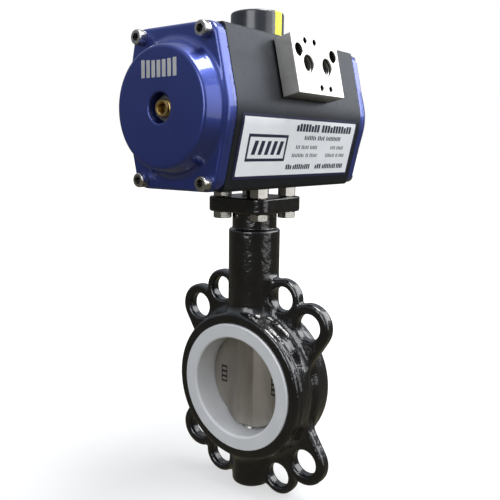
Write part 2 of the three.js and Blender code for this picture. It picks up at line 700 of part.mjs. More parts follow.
function disc() {
  const rimHalf = 2.6;
  const plate = turned("x", [
    [0, -5],
    [26, -4.4],
    [DISC_R - 1.6, -rimHalf],
    [DISC_R, 0],
    [DISC_R - 1.6, rimHalf],
    [26, 4.4],
    [0, 5],
  ], 36);
  const quarter = DISC_HUB_QUARTER;
  const half = [...quarter.map(([x, y]) => [x, -y]).reverse(), ...quarter];
  const outline = [...half, ...half.map(([x, y]) => [-x, -y])];
  const hub = prism(
    "z",
    new THREE.Shape(outline.map(([x, y]) => new THREE.Vector2(x, y))),
    -DISC_HUB_HALF,
    DISC_HUB_HALF,
  ).intersect(bar("x", DISC_HUB_WITHIN, -20, 20));
  const bore = bar("z", STEM_R + 0.15, -50, 50);
  const flats = block(2 * DRIVE_FLAT + 0.3, 40, 100, 0, 0, 0);
  const ends = [1, -1].map((end) =>
    bar("z", STEM_R + 0.15, end > 0 ? 29.7 : -50, end > 0 ? 50 : -29.7),
  );
  return cut(join(plate, hub), bore.intersect(flats), ...ends);
}

function stem() {
  const squareBottom = TOP_FLANGE_Z + 4;
  const top = TOP_FLANGE_Z + STANDOFF + 15;
  const whole = bar("z", STEM_R, STEM_BOTTOM_Z + 1, top);
  const driveCut = block(20, 20, 60, 0, 0, 0).subtract(block(2 * DRIVE_FLAT, 30, 80, 0, 0, 0));
  const squareHeight = top - squareBottom + 1;
  const squareMiddle = squareBottom + squareHeight / 2;
  const squareCut = block(20, 20, squareHeight, 0, 0, squareMiddle).subtract(
    block(STEM_SQUARE, STEM_SQUARE, squareHeight + 2, 0, 0, squareMiddle),
  );
  return cut(whole, driveCut, squareCut);
}

const bottomPlug = () =>
  cut(
    bar("z", BUSH_R - GAP, HUB_BOTTOM_Z + 0.3, HUB_BOTTOM_Z + 9),
    prism("z", hexagon(8), HUB_BOTTOM_Z - 1, HUB_BOTTOM_Z + 5),
  );

function mountingBolt() {
  const flangeBottom = TOP_FLANGE_Z - TOP_FLANGE_THICKNESS;
  return join(
    prism("z", hexagon(HEX_ACROSS_FLATS), flangeBottom - 5.3, flangeBottom - GAP),
    bar("z", BOLT_R, flangeBottom - 1, TOP_FLANGE_Z + STANDOFF + 11),
  );
}

const spacerNut = () =>
  cut(
    prism("z", hexagon(HEX_ACROSS_FLATS), TOP_FLANGE_Z + GAP, TOP_FLANGE_Z + STANDOFF - GAP),
    bar("z", BOLT_R + 0.2, TOP_FLANGE_Z - 1, TOP_FLANGE_Z + STANDOFF + 1),
  );

// ---- Assembly ----

const unit = new THREE.Group();
const actuator = new THREE.Group();
actuator.position.z = AXIS_Z;
unit.add(actuator);

const SIDES = [
  ["left", -1],
  ["right", 1],
];

actuator.add(piece("actuator_body", housingBody(), BLACK_ANODISED));

for (const [side, sign] of SIDES) {
  for (const [name, made, material] of [
    ["end_cap", endCap(), BLUE_PAINT],
    ["end_cap_seal", seal("x", 38.65, 1.15, BODY_HALF_LENGTH - 2.1), BLACK_RUBBER],
    ["stop_screw", stopScrew(), BRASS],
    ["stop_lock_nut", lockNut(), STEEL],
  ]) {
    const mesh = piece(`${name}_${side}`, made, material);
    mesh.scale.x = sign;
    actuator.add(mesh);
  }
  CORNERS.forEach(([y, z], i) => {
    const screw = capScrew({ headR: 5, headHeight: 6, shankR: 2.9, shankLength: 24, socket: 5 });
    const mesh = piece(`end_cap_screw_${side}_${i + 1}`, screw, STAINLESS);
    mesh.position.set(sign * (CAP_FLANGE_X + GAP), y * CAP_SCREW_Y, z * CAP_SCREW_Z);
    mesh.scale.x = sign;
    actuator.add(mesh);
  });
  for (const [name, made, material] of [
    ["piston", piston(), BARE_ALUMINIUM],
    ["piston_seal", pistonSeal(), BLACK_RUBBER],
    ["rack_guide", rackGuide(), ACETAL],
  ]) {
    const mesh = piece(`${name}_${side}`, made, material);
    mesh.rotation.z = sign > 0 ? 0 : Math.PI;
    actuator.add(mesh);
  }
}

for (const [name, made, material] of [
  ["pinion", pinion(), STEEL],
  ["pinion_seal_bottom", seal("z", SHAFT_R - 1, 0.95, -47.5, 20), BLACK_RUBBER],
  ["pinion_seal_top", seal("z", SHAFT_TOP_R - 1, 0.95, 45.5, 20), BLACK_RUBBER],
  ["pinion_bush_bottom", ring("z", SHAFT_R + RUNNING, BUSH_OUTER_BOTTOM_R, -BODY_HALF_HEIGHT + 0.5, -41.5),
    ACETAL],
  ["pinion_bush_top", ring("z", SHAFT_TOP_R + RUNNING, BUSH_OUTER_TOP_R, 41.5, BODY_HALF_HEIGHT), ACETAL],
  ["thrust_washer", ring("z", SHAFT_TOP_R + RUNNING, 16.8, BODY_HALF_HEIGHT + GAP, RETAINER_Z - GAP), ACETAL],
  ["retaining_ring", retainingRing(), STEEL],
  ["indicator_cap", indicatorCap(), BLACK_PLASTIC],
  ["indicator_stripe", indicatorStripe(), YELLOW_PLASTIC],
  ["indicator_screw", indicatorScrew(), STAINLESS],
  ["label_plate", labelPlate(), LABEL_FILM],
])
  actuator.add(piece(name, made, material));

const manifold = new THREE.Group();
manifold.rotation.x = -SIDE_TILT;
actuator.add(manifold);
manifold.add(piece("manifold_block", manifoldBlock(), BARE_ALUMINIUM));
manifold.add(piece("manifold_gasket", manifoldGasket(), BLACK_RUBBER));
for (const [side, sign] of SIDES) {
  const screw = capScrew({ headR: 4.25, headHeight: 4.5, shankR: 2.4, shankLength: 13, socket: 4 });
  const mesh = piece(`manifold_screw_${side}`, screw, STAINLESS);
  mesh.rotation.z = -Math.PI / 2;
  const seat = MANIFOLD_FRONT - MANIFOLD_SCREW.sunk + GAP;
  mesh.position.set(sign * MANIFOLD_SCREW.x, -seat, MANIFOLD_SCREW.z);
  manifold.add(mesh);
}

for (const [name, made, material] of [
  ["valve_body", valveBody(), BLACK_PAINT],
  ["seat_liner", seatLiner(), WHITE_PTFE],
  ["valve_disc", disc(), CAST_STAINLESS],
  ["valve_stem", stem(), STAINLESS],
  ["stem_bush_lower", ring("z", STEM_R + RUNNING, BUSH_R, -72, -56.2), BRASS],
  ["stem_bush_upper", ring("z", STEM_R + RUNNING, BUSH_R, 90.2, 122), BRASS],
  ["stem_seal", ring("z", STEM_R + RUNNING, BUSH_R, 122.5, 130), BLACK_RUBBER],
  ["packing_gland", ring("z", STEM_R + RUNNING, BUSH_R, 130.5, TOP_FLANGE_Z - 1), STAINLESS],
  ["bottom_plug", bottomPlug(), STEEL],
])
  unit.add(piece(name, made, material));

CORNERS.forEach(([x, y], i) => {
  for (const [name, made] of [
    ["mounting_bolt", mountingBolt()],
    ["spacer_nut", spacerNut()],
  ]) {
    const mesh = piece(`${name}_${i + 1}`, made, STAINLESS);
    mesh.position.set(x * MOUNT_OFFSET, y * MOUNT_OFFSET, 0);
    unit.add(mesh);
  }
});

export default unit;
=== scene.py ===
"""Looks for a rack-and-pinion pneumatic actuator on its wafer butterfly valve.

Shapes are worked out in millimetres in the part's own frame and stored in metres: the origin is
the centre of the valve's bore, +X runs along the pipe and the cylinder, +Z up the stem, and the
label side faces -Y.
"""

import json
import math

import bpy
import numpy as np
from mathutils import Matrix, Vector


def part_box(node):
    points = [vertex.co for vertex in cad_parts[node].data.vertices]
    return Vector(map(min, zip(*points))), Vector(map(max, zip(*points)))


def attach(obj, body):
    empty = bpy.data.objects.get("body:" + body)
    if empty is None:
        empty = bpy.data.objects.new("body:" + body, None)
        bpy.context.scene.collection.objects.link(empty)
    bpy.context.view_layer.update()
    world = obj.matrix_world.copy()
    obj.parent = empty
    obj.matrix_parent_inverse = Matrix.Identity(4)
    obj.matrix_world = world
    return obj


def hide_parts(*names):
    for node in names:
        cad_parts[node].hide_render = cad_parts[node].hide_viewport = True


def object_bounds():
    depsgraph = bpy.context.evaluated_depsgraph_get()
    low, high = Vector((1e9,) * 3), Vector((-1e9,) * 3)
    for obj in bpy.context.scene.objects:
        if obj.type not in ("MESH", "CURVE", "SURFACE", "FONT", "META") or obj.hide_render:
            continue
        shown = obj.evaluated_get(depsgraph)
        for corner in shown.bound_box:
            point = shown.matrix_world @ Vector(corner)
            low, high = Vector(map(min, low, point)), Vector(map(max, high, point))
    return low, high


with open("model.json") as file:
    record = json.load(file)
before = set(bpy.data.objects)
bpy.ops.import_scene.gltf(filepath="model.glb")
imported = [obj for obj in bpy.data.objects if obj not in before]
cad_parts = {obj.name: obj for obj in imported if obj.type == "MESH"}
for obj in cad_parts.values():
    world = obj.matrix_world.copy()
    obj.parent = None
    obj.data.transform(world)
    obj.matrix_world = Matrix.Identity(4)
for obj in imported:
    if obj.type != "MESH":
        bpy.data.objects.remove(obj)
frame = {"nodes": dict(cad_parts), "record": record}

CAD_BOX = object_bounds()
MM = 0.001
scene = bpy.context.scene


def low(node):
    return [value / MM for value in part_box(node)[0]]


def high(node):
    return [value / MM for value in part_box(node)[1]]


# ---- Sizes, read from the frame where it has them ----

AXIS_Z = (low("actuator_body")[2] + high("actuator_body")[2]) / 2
BODY_X = high("actuator_body")[0]
HALF_HEIGHT = high("actuator_body")[2] - AXIS_Z
SIDE_R = high("actuator_body")[1]
SIDE_TILT = math.radians(12.8)
CAP_FRONT = high("end_cap_right")[0]
CYLINDER_R = 40
FLANGE_X = BODY_X + 9
CAP_SCREW_Y, CAP_SCREW_Z = 28.5, 47.0
CAP_SCREW_HOLE_R = 3.3
CASTING_X = 23
FLANGE_TOP = high("valve_body")[2]
FLANGE_BOTTOM = FLANGE_TOP - 11.5
HUB_BOTTOM = -86
LINER_X = high("seat_liner")[0]
LINER_R = high("seat_liner")[1]
BORE_R = 39.5
BOLT_XY = 17.678
STEM_R = 7.0
BOLT_R, BOLT_HEX = 3.9, 13
MANIFOLD_BACK = SIDE_R + 0.8
MANIFOLD_FRONT = MANIFOLD_BACK + 13.4
MANIFOLD_Z = 19.5
PORT_Z = MANIFOLD_Z + 0.8
MANIFOLD_SCREW_X, MANIFOLD_SCREW_Z, MANIFOLD_SCREW_SUNK = 22.2, MANIFOLD_Z + 9.55, 9
CORNERS = [(1, 1), (-1, 1), (-1, -1), (1, -1)]


# ---- Materials ----

class Nodes:
    """A Principled material and the few node patterns that this scene uses on it."""

    def __init__(self, name, **values):
        self.material = bpy.data.materials.new(name)
        self.material.use_nodes = True
        self.tree = self.material.node_tree
        self.shader = self.tree.nodes["Principled BSDF"]
        self.set(**values)

    def set(self, **values):
        for key, value in values.items():
            socket = self.shader.inputs[key.replace("_", " ")]
            if key == "Base_Color" or key == "Coat_Tint":
                value = (*value, 1)
            socket.default_value = value

    def new(self, kind, **values):
        node = self.tree.nodes.new("ShaderNode" + kind)
        for key, value in values.items():
            if key in node.inputs:
                node.inputs[key].default_value = value
            else:
                setattr(node, key, value)
        return node

    def link(self, output, socket):
        self.tree.links.new(output, socket)

    def coordinates(self, stretch=(1, 1, 1)):
        """Object coordinates, scaled. They stay on the piece as it moves."""
        place = self.new("TexCoord")
        mapping = self.new("Mapping")
        mapping.inputs["Scale"].default_value = stretch
        self.link(place.outputs["Object"], mapping.inputs["Vector"])
        return mapping.outputs["Vector"]

    def noise(self, scale, detail=3.0, stretch=(1, 1, 1), roughness=0.5, distortion=0.0):
        node = self.new("TexNoise")
        node.inputs["Scale"].default_value = scale
        node.inputs["Detail"].default_value = detail
        node.inputs["Roughness"].default_value = roughness
        node.inputs["Distortion"].default_value = distortion
        self.link(self.coordinates(stretch), node.inputs["Vector"])
        return node.outputs["Fac"]

    def ramp(self, factor, *stops):
        """Colours or grey values at places along a factor: (place, value) pairs."""
        node = self.new("ValToRGB")
        elements = node.color_ramp.elements
        while len(elements) < len(stops):
            elements.new(0.5)
        for element, (place, value) in zip(elements, stops):
            element.position = place
            colour = value if isinstance(value, tuple) else (value,) * 3
            element.color = (*colour, 1)
        self.link(factor, node.inputs["Fac"])
        return node.outputs["Color"]

    def colour(self, output):
        self.link(output, self.shader.inputs["Base Color"])
        return self

    def painted_crevice_shade(self, output, reach, darkest_painted_shade=0.03):
        """Painted shade: darkens a colour in holes and corners, where no light comes, by how closed in they
        are.
        """
        closed = self.new("AmbientOcclusion", only_local=True, samples=8)
        closed.inputs["Distance"].default_value = reach
        times = self.new("VectorMath", operation="MULTIPLY")
        self.link(output, times.inputs[0])
        self.link(self.ramp(closed.outputs["AO"], (0.25, darkest_painted_shade), (0.85, 1.0)), times.inputs[1])
        return times.outputs["Vector"]

    def rough(self, factor, least, most):
        node = self.new("MapRange")
        node.inputs["To Min"].default_value = least
        node.inputs["To Max"].default_value = most
        self.link(factor, node.inputs["Value"])
        self.link(node.outputs["Result"], self.shader.inputs["Roughness"])
        return self

    def bump(self, height, distance, strength=1.0, coat=False):
        node = self.new("Bump")
        node.inputs["Strength"].default_value = strength
        node.inputs["Distance"].default_value = distance
        self.link(height, node.inputs["Height"])
        before = self.shader.inputs["Normal"].links
        if before:
            self.link(before[0].from_socket, node.inputs["Normal"])
        self.link(node.outputs["Normal"], self.shader.inputs["Normal"])
        if coat:
            self.link(node.outputs["Normal"], self.shader.inputs["Coat Normal"])
        return self


def anodised():
    m = Nodes("black_anodised", Metallic=0.85, Roughness=0.4)
    grain = m.noise(900, 2, (0.12, 1, 1))
    patches = m.noise(14, 4, (0.5, 1, 1))
    m.colour(m.ramp(patches, (0.35, (0.028, 0.030, 0.036)), (0.7, (0.048, 0.052, 0.060))))
    m.rough(m.noise(220, 3), 0.34, 0.5)
    return m.bump(grain, 0.00004, 0.5).material


def blue_paint():
    m = Nodes("cobalt_paint", Metallic=0.7, Roughness=0.36, Coat_Weight=1.0, Coat_Roughness=0.07)
    m.colour(m.ramp(m.noise(25, 3), (0.3, (0.034, 0.056, 0.27)), (0.75, (0.046, 0.073, 0.34))))
    return m.bump(m.noise(160, 2), 0.00012, 0.35, coat=True).material


def black_casting():
    m = Nodes("black_epoxy_casting", Roughness=0.22, Coat_Weight=1.0, Coat_Roughness=0.05)
    m.colour(m.ramp(m.noise(60, 3), (0.3, (0.0035, 0.0035, 0.004)), (0.8, (0.010, 0.010, 0.011))))
    m.bump(m.noise(130, 3, distortion=0.8), 0.0010, 0.55, coat=True)
    return m.bump(m.noise(420, 3), 0.0003, 0.5, coat=True).material


def ptfe():
    m = Nodes("white_ptfe", Roughness=0.4, Subsurface_Weight=0.15, Subsurface_Scale=0.002)
    m.shader.inputs["Subsurface Radius"].default_value = (1.0, 1.0, 1.0)
    m.colour(m.ramp(m.noise(35, 4), (0.3, (0.76, 0.77, 0.79)), (0.7, (0.82, 0.83, 0.85))))
    m.rough(m.noise(200, 3), 0.3, 0.45)
    return m.bump(m.noise(500, 2), 0.00008, 0.4).material


def metal(name, dark, light, rough=(0.25, 0.4), grain=(700, 0.00005), stretch=(1, 1, 1), reach=0.0):
    m = Nodes(name, Metallic=1.0)
    tone = m.ramp(m.noise(60, 4, stretch), (0.3, dark), (0.7, light))
    # Painted shade: where reach is given, the colour darkens in holes and corners.
    m.colour(m.painted_crevice_shade(tone, reach) if reach else tone)
    m.rough(m.noise(grain[0] / 3, 4, stretch), *rough)
    return m.bump(m.noise(grain[0], 3, stretch), grain[1], 0.6).material


def plastic(name, dark, light, rough=(0.35, 0.5), grain=600, coat=0.0):
    m = Nodes(name, Coat_Weight=coat, Coat_Roughness=0.15)
    m.colour(m.ramp(m.noise(90, 3), (0.3, dark), (0.7, light)))
    m.rough(m.noise(150, 3), *rough)
    return m.bump(m.noise(grain, 2), 0.00006, 0.5).material


ANODISED = anodised()
BLUE = blue_paint()
CASTING = black_casting()
PTFE = ptfe()
# The last value of the aluminium, stainless and brass is the reach of painted shade in their ports, sockets
# and hollows.
ALUMINIUM = metal("machined_aluminium", (0.54, 0.525, 0.49), (0.70, 0.685, 0.65), (0.28, 0.48),
                  (900, 0.00005), (0.12, 1, 1), 0.012)
STAINLESS = metal("bright_stainless", (0.50, 0.48, 0.45), (0.68, 0.66, 0.62), (0.18, 0.34), reach=0.004)
DISC_STEEL = metal("blasted_stainless", (0.36, 0.33, 0.29), (0.54, 0.50, 0.45), (0.42, 0.6), (900, 0.00012),
                   (1, 1, 0.25))
STEEL = metal("oxidised_steel", (0.16, 0.16, 0.165), (0.26, 0.26, 0.26), (0.3, 0.45))
BRASS = metal("yellow_passivated", (0.55, 0.36, 0.12), (0.72, 0.52, 0.22), (0.22, 0.38), reach=0.004)
RUBBER = plastic("black_rubber", (0.012, 0.012, 0.012), (0.022, 0.022, 0.022), (0.6, 0.8))
ACETAL = plastic("acetal", (0.70, 0.66, 0.55), (0.78, 0.75, 0.65))
INDICATOR = plastic("indicator_black", (0.022, 0.024, 0.030), (0.036, 0.039, 0.048), (0.22, 0.34), coat=0.6)
YELLOW = plastic("indicator_yellow", (0.80, 0.74, 0.02), (0.90, 0.86, 0.05), (0.35, 0.5))
FILM = plastic("label_film", (0.86, 0.88, 0.92), (0.90, 0.92, 0.96), (0.3, 0.42), 300, 0.3)
NAVY = plastic("label_navy", (0.012, 0.014, 0.045), (0.018, 0.020, 0.060), (0.3, 0.42))
INK = plastic("label_ink", (0.010, 0.012, 0.035), (0.016, 0.018, 0.048), (0.4, 0.5))
SILVER_INK = metal("silver_print", (0.80, 0.80, 0.80), (0.90, 0.90, 0.90), (0.45, 0.6))

SLOT_MATERIALS = {
    "body_anodised": ANODISED, "cap_blue": BLUE, "casting_black": CASTING, "bare_aluminium": ALUMINIUM,
    "stainless": STAINLESS, "cast_stainless": DISC_STEEL, "steel": STEEL, "ptfe": PTFE, "rubber": RUBBER,
    "acetal": ACETAL, "brass": BRASS, "indicator_black": INDICATOR, "indicator_yellow": YELLOW,
    "label_film": FILM,
}
for subpart in frame["record"]["subparts"]:
    carried = frame["nodes"][subpart["node"]]
    carried.data.materials.clear()
    carried.data.materials.append(SLOT_MATERIALS[subpart["material_slot"]])


# ---- Meshes ----

def mesh_object(name, vertices, faces, sharp=30.0, normals=None):
    """An object from points in millimetres. Edges steeper than sharp degrees stay sharp."""
    mesh = bpy.data.meshes.new(name)
    mesh.from_pydata((np.asarray(vertices, float) * MM).tolist(), [], [list(map(int, f)) for f in faces])
    mesh.validate()
    mesh.shade_smooth()
    if normals is not None:
        mesh.normals_split_custom_set_from_vertices(normals.tolist())
    elif sharp is not None:
        mesh.set_sharp_from_angle(angle=math.radians(sharp))
    made = bpy.data.objects.new(name, mesh)
    scene.collection.objects.link(made)
    return made


def evaluated(made):
    """The object with its modifiers applied to its mesh."""
    bpy.context.view_layer.update()
    graph = bpy.context.evaluated_depsgraph_get()
    mesh = bpy.data.meshes.new_from_object(made.evaluated_get(graph))
    made.modifiers.clear()
    made.data = mesh
    return made


def combine(made, tool, operation="DIFFERENCE"):
    modifier = made.modifiers.new("combine", "BOOLEAN")
    modifier.object = tool
    modifier.operation = operation
    modifier.solver = "EXACT"
    evaluated(made)
    bpy.data.objects.remove(tool)
    return made


def shaded(made, angle):
    """Smooth shading that keeps steeper edges sharp and large flat faces flat."""
    made.data.shade_smooth()
    made.data.set_sharp_from_angle(angle=math.radians(angle))
    modifier = made.modifiers.new("weighted", "WEIGHTED_NORMAL")
    modifier.weight = 100
    modifier.keep_sharp = True
    return evaluated(made)


def broken_edges(made, width, segments=2, angle=35.0):
    """Takes the sharpness off edges, as machining and moulding do."""
    modifier = made.modifiers.new("edges", "BEVEL")
    modifier.width = width * MM
    modifier.segments = segments
    modifier.limit_method = "ANGLE"
    modifier.angle_limit = math.radians(angle)
    modifier.harden_normals = False
    evaluated(made)
    return shaded(made, 28)


def place(made, material, body, slot, *nodes):
    """Finishes a piece: its material, the body it rides on, and the CAD nodes it stands for."""
    made.data.materials.clear()
    made.data.materials.append(material)
    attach(made, body)
    if nodes:
        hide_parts(*nodes)
    return made


def soft(corners, steps=4, closed=True):
    """A polygon of (x, y) or (x, y, radius) corners with the given ones rounded."""
    made = []
    count = len(corners)
    for i, corner in enumerate(corners):
        here = Vector(corner[:2])
        radius = corner[2] if len(corner) > 2 else 0
        if not radius or (not closed and i in (0, count - 1)):
            made.append(tuple(here))
            continue
        before = (Vector(corners[i - 1][:2]) - here)
        after = (Vector(corners[(i + 1) % count][:2]) - here)
        half = before.angle(after) / 2
        reach = min(radius / math.tan(half), before.length * 0.49, after.length * 0.49)
        radius = reach * math.tan(half)
        start = here + before.normalized() * reach
        end = here + after.normalized() * reach
        centre = here + (before.normalized() + after.normalized()).normalized() * radius / math.sin(half)
        a, b = start - centre, end - centre
        turn = math.atan2(a.x * b.y - a.y * b.x, a.dot(b))
        for k in range(steps + 1):
            made.append(tuple(centre + Matrix.Rotation(turn * k / steps, 2) @ a))
    return made


AXES = {
    "x": lambda r, c, s, h: (h, r * c, r * s),
    "z": lambda r, c, s, h: (r * c, r * s, h),
    "-y": lambda r, c, s, h: (r * c, -h, r * s),
}


def lathe(profile, axis="x", segments=64, centre=(0, 0, 0), ripple=None):
    """Turns a closed profile of (radius, height) once round an axis. Ripple changes the radius."""
    count = len(profile)
    vertices, rows = [], []
    for i, (radius, height) in enumerate(profile):
        if radius < 1e-6:
            rows.append([len(vertices)] * segments)
            vertices.append(AXES[axis](0, 1, 0, height))
            continue
        row = []
        for k in range(segments):
            turn = 2 * math.pi * k / segments
            here = radius + (ripple(i, k) if ripple else 0)
            row.append(len(vertices))
            vertices.append(AXES[axis](here, math.cos(turn), math.sin(turn), height))
        rows.append(row)
    faces = []
    for i in range(count):
        a, b = rows[i], rows[(i + 1) % count]
        for k in range(segments):
            n = (k + 1) % segments
            face = [a[k], a[n], b[n], b[k]]
            face = [v for j, v in enumerate(face) if v != face[j - 1]]
            if len(set(face)) > 2:
                faces.append(face)
    points = np.array(vertices) + np.array(centre)
    return outward(points, faces)


def outward(points, faces):
    """The same mesh with its faces turned outwards, judged by its signed volume."""
    volume = 0.0
    for face in faces:
        a = points[face[0]]
        for j in range(1, len(face) - 1):
            volume += np.dot(a, np.cross(points[face[j]], points[face[j + 1]]))
    return (points, faces) if volume > 0 else (points, [face[::-1] for face in faces])


def prism(outline, axis, rings):
    """An outline of (u, v) points along an axis. Each ring is (place, inset from the outline)."""
    outline = [Vector(p) for p in outline]
    count = len(outline)
    normals = []
    for i in range(count):
        along = (outline[(i + 1) % count] - outline[i - 1]).normalized()
        normals.append(Vector((along.y, -along.x)))
    area = sum(outline[i - 1].x * outline[i].y - outline[i].x * outline[i - 1].y for i in range(count))
    side = 1 if area > 0 else -1
    put = {"x": lambda u, v, h: (h, u, v), "z": lambda u, v, h: (u, v, h), "-y": lambda u, v, h: (u, -h, v)}
    points = [put[axis](*(p - n * side * inset), h)
              for h, inset in rings for p, n in zip(outline, normals)]
    faces = []
    for i in range(len(rings) - 1):
        for k in range(count):
            n = (k + 1) % count
            faces.append([i * count + k, i * count + n, (i + 1) * count + n, (i + 1) * count + k])
    faces += [list(range(count))[::-1], [(len(rings) - 1) * count + k for k in range(count)]]
    return outward(np.array(points, float), faces)


def together(*meshes):
    points, faces, offset = [], [], 0
    for p, f in meshes:
        points.append(np.asarray(p, float))
        faces += [[v + offset for v in face] for face in f]
        offset += len(p)
    return np.vstack(points), faces


def moved(mesh, x=0.0, y=0.0, z=0.0):
    return np.asarray(mesh[0]) + np.array([x, y, z]), mesh[1]


def tilted(mesh):
    """From the upright frame of the actuator's axis to the upper flat of its side."""
    points = np.asarray(mesh[0], float)
    c, s = math.cos(SIDE_TILT), math.sin(SIDE_TILT)
    y, z = points[:, 1], points[:, 2]
    return np.stack([points[:, 0], y * c + z * s, -y * s + z * c + AXIS_Z], 1), mesh[1]


def mirrored(mesh):
    return np.asarray(mesh[0]) * np.array([-1, 1, 1]), [face[::-1] for face in mesh[1]]


def rod(radius, start, end, axis="z", centre=(0, 0, 0), segments=32):
    return lathe([(0, start), (radius, start), (radius, end), (0, end)], axis, segments, centre)


def hexagon(across_flats):
    corner = across_flats / 2 / math.cos(math.pi / 6)
    return [(corner * math.cos((i + 0.5) * math.pi / 3), corner * math.sin((i + 0.5) * math.pi / 3))
            for i in range(6)]


def cuboid(x, y, z):
    """Between two values on each axis."""
    outline = [(x[0], y[0]), (x[1], y[0]), (x[1], y[1]), (x[0], y[1])]
    return prism(outline, "z", [(z[0], 0), (z[1], 0)])


# ---- Blended solids: a distance field and the surface where it is zero ----

def join(a, b, blend):
    h = np.maximum(blend - np.abs(a - b), 0) / blend
    return np.minimum(a, b) - h * h * blend / 4


def meet(a, b, blend):
    return -join(-a, -b, blend)


def surface(field, lowest, highest, step):
    """The zero surface of a field, which is the same on both sides of x = 0 and of y = 0, as a
    mesh with exact normals: a net through the cells that it crosses, then drawn onto it."""
    half = [np.arange(0, highest[i] + step, step) for i in (0, 1)]
    z = np.arange(lowest[2], highest[2] + step, step)
    quarter = field(*np.meshgrid(half[0], half[1], z, indexing="ij")).astype(np.float32)
    values = np.concatenate([quarter[:0:-1], quarter], 0)
    values = np.concatenate([values[:, :0:-1], values], 1)
    start = np.array([-half[0][-1], -half[1][-1], z[0]])

    inside = values < 0
    cells = tuple(n - 1 for n in values.shape)
    total = np.zeros(cells + (3,), np.float32)
    hits = np.zeros(cells, np.float32)
    crossings = []
    for axis in range(3):
        first = [slice(None)] * 3
        second = [slice(None)] * 3
        first[axis], second[axis] = slice(None, -1), slice(1, None)
        a, b = values[tuple(first)], values[tuple(second)]
        crossed = inside[tuple(first)] != inside[tuple(second)]
        crossings.append(crossed)
        along = np.where(crossed, a / np.where(crossed, a - b, 1), 0)
        u, v = [i for i in range(3) if i != axis]
        for du in (0, 1):
            for dv in (0, 1):
                part = [slice(None)] * 3
                part[u] = slice(du, values.shape[u] - 1 + du)
                part[v] = slice(dv, values.shape[v] - 1 + dv)
                c = crossed[tuple(part)]
                hits += c
                total[..., axis] += along[tuple(part)] * c
                total[..., u] += du * c
                total[..., v] += dv * c
    active = hits > 0
    index = np.full(cells, -1, int)
    index[active] = np.arange(active.sum())
    points = np.argwhere(active) + total[active] / hits[active][:, None]
    points = points * step + start

    faces = []
    for axis in range(3):
        u, v = [(1, 2), (2, 0), (0, 1)][axis]
        edges = np.argwhere(crossings[axis])
        keep = (edges[:, u] > 0) & (edges[:, v] > 0)
        keep &= (edges[:, u] < cells[u]) & (edges[:, v] < cells[v])
        edges = edges[keep]
        ring = []
        for du, dv in ((-1, -1), (0, -1), (0, 0), (-1, 0)):
            cell = edges.copy()
            cell[:, u] += du
            cell[:, v] += dv
            ring.append(index[tuple(cell.T)])
        ring = np.stack(ring, 1)
        flip = ~inside[tuple(edges.T)]
        ring[flip] = ring[flip][:, ::-1]
        faces.append(ring)
    faces = np.vstack(faces)

    def slope(p):
        tiny = 0.05
        parts = []
        for i in range(3):
            shift = np.zeros(3)
            shift[i] = tiny
            parts.append((field(*np.abs(p + shift).T[:2], (p + shift)[:, 2])
                          - field(*np.abs(p - shift).T[:2], (p - shift)[:, 2])) / (2 * tiny))
        return np.stack(parts, 1)

    for _ in range(3):
        g = slope(points)
        size = np.maximum((g * g).sum(1), 0.2)
        value = field(np.abs(points[:, 0]), np.abs(points[:, 1]), points[:, 2])
        move = np.clip(value / size, -step, step)
        points = points - g * move[:, None]
    g = slope(points)
    normals = g / np.maximum(np.linalg.norm(g, axis=1), 1e-6)[:, None]
    return points, faces, normals


# ---- Valve casting ----

def capsule(y, z, a, radius_a, b, radius_b):
    """Distance in the plane to a bar that tapers between two circles."""
    by, bz = b[0] - a[0], b[1] - a[1]
    h = by * by + bz * bz
    py, pz = y - a[0], z - a[1]
    qx, qy = np.abs(py * bz - pz * by) / h, (py * by + pz * bz) / h
    taper = radius_a - radius_b
    cx, cy = math.sqrt(h - taper * taper), taper
    k, m, n = cx * qy - cy * qx, cx * qx + cy * qy, qx * qx + qy * qy
    return np.where(k < 0, np.sqrt(h * n) - radius_a,
                    np.where(k > cx, np.sqrt(np.maximum(h * (n + 1 - 2 * qy), 0)) - radius_b, m - radius_a))


# Degrees from level, radius of the hole's circle, and radii of the hole, the boss and its root.
EARS = [(45.0, 76.2, 10.2, 18.0, 24.0), (67.5, 78.0, 9.5, 15.5, 20.0)]


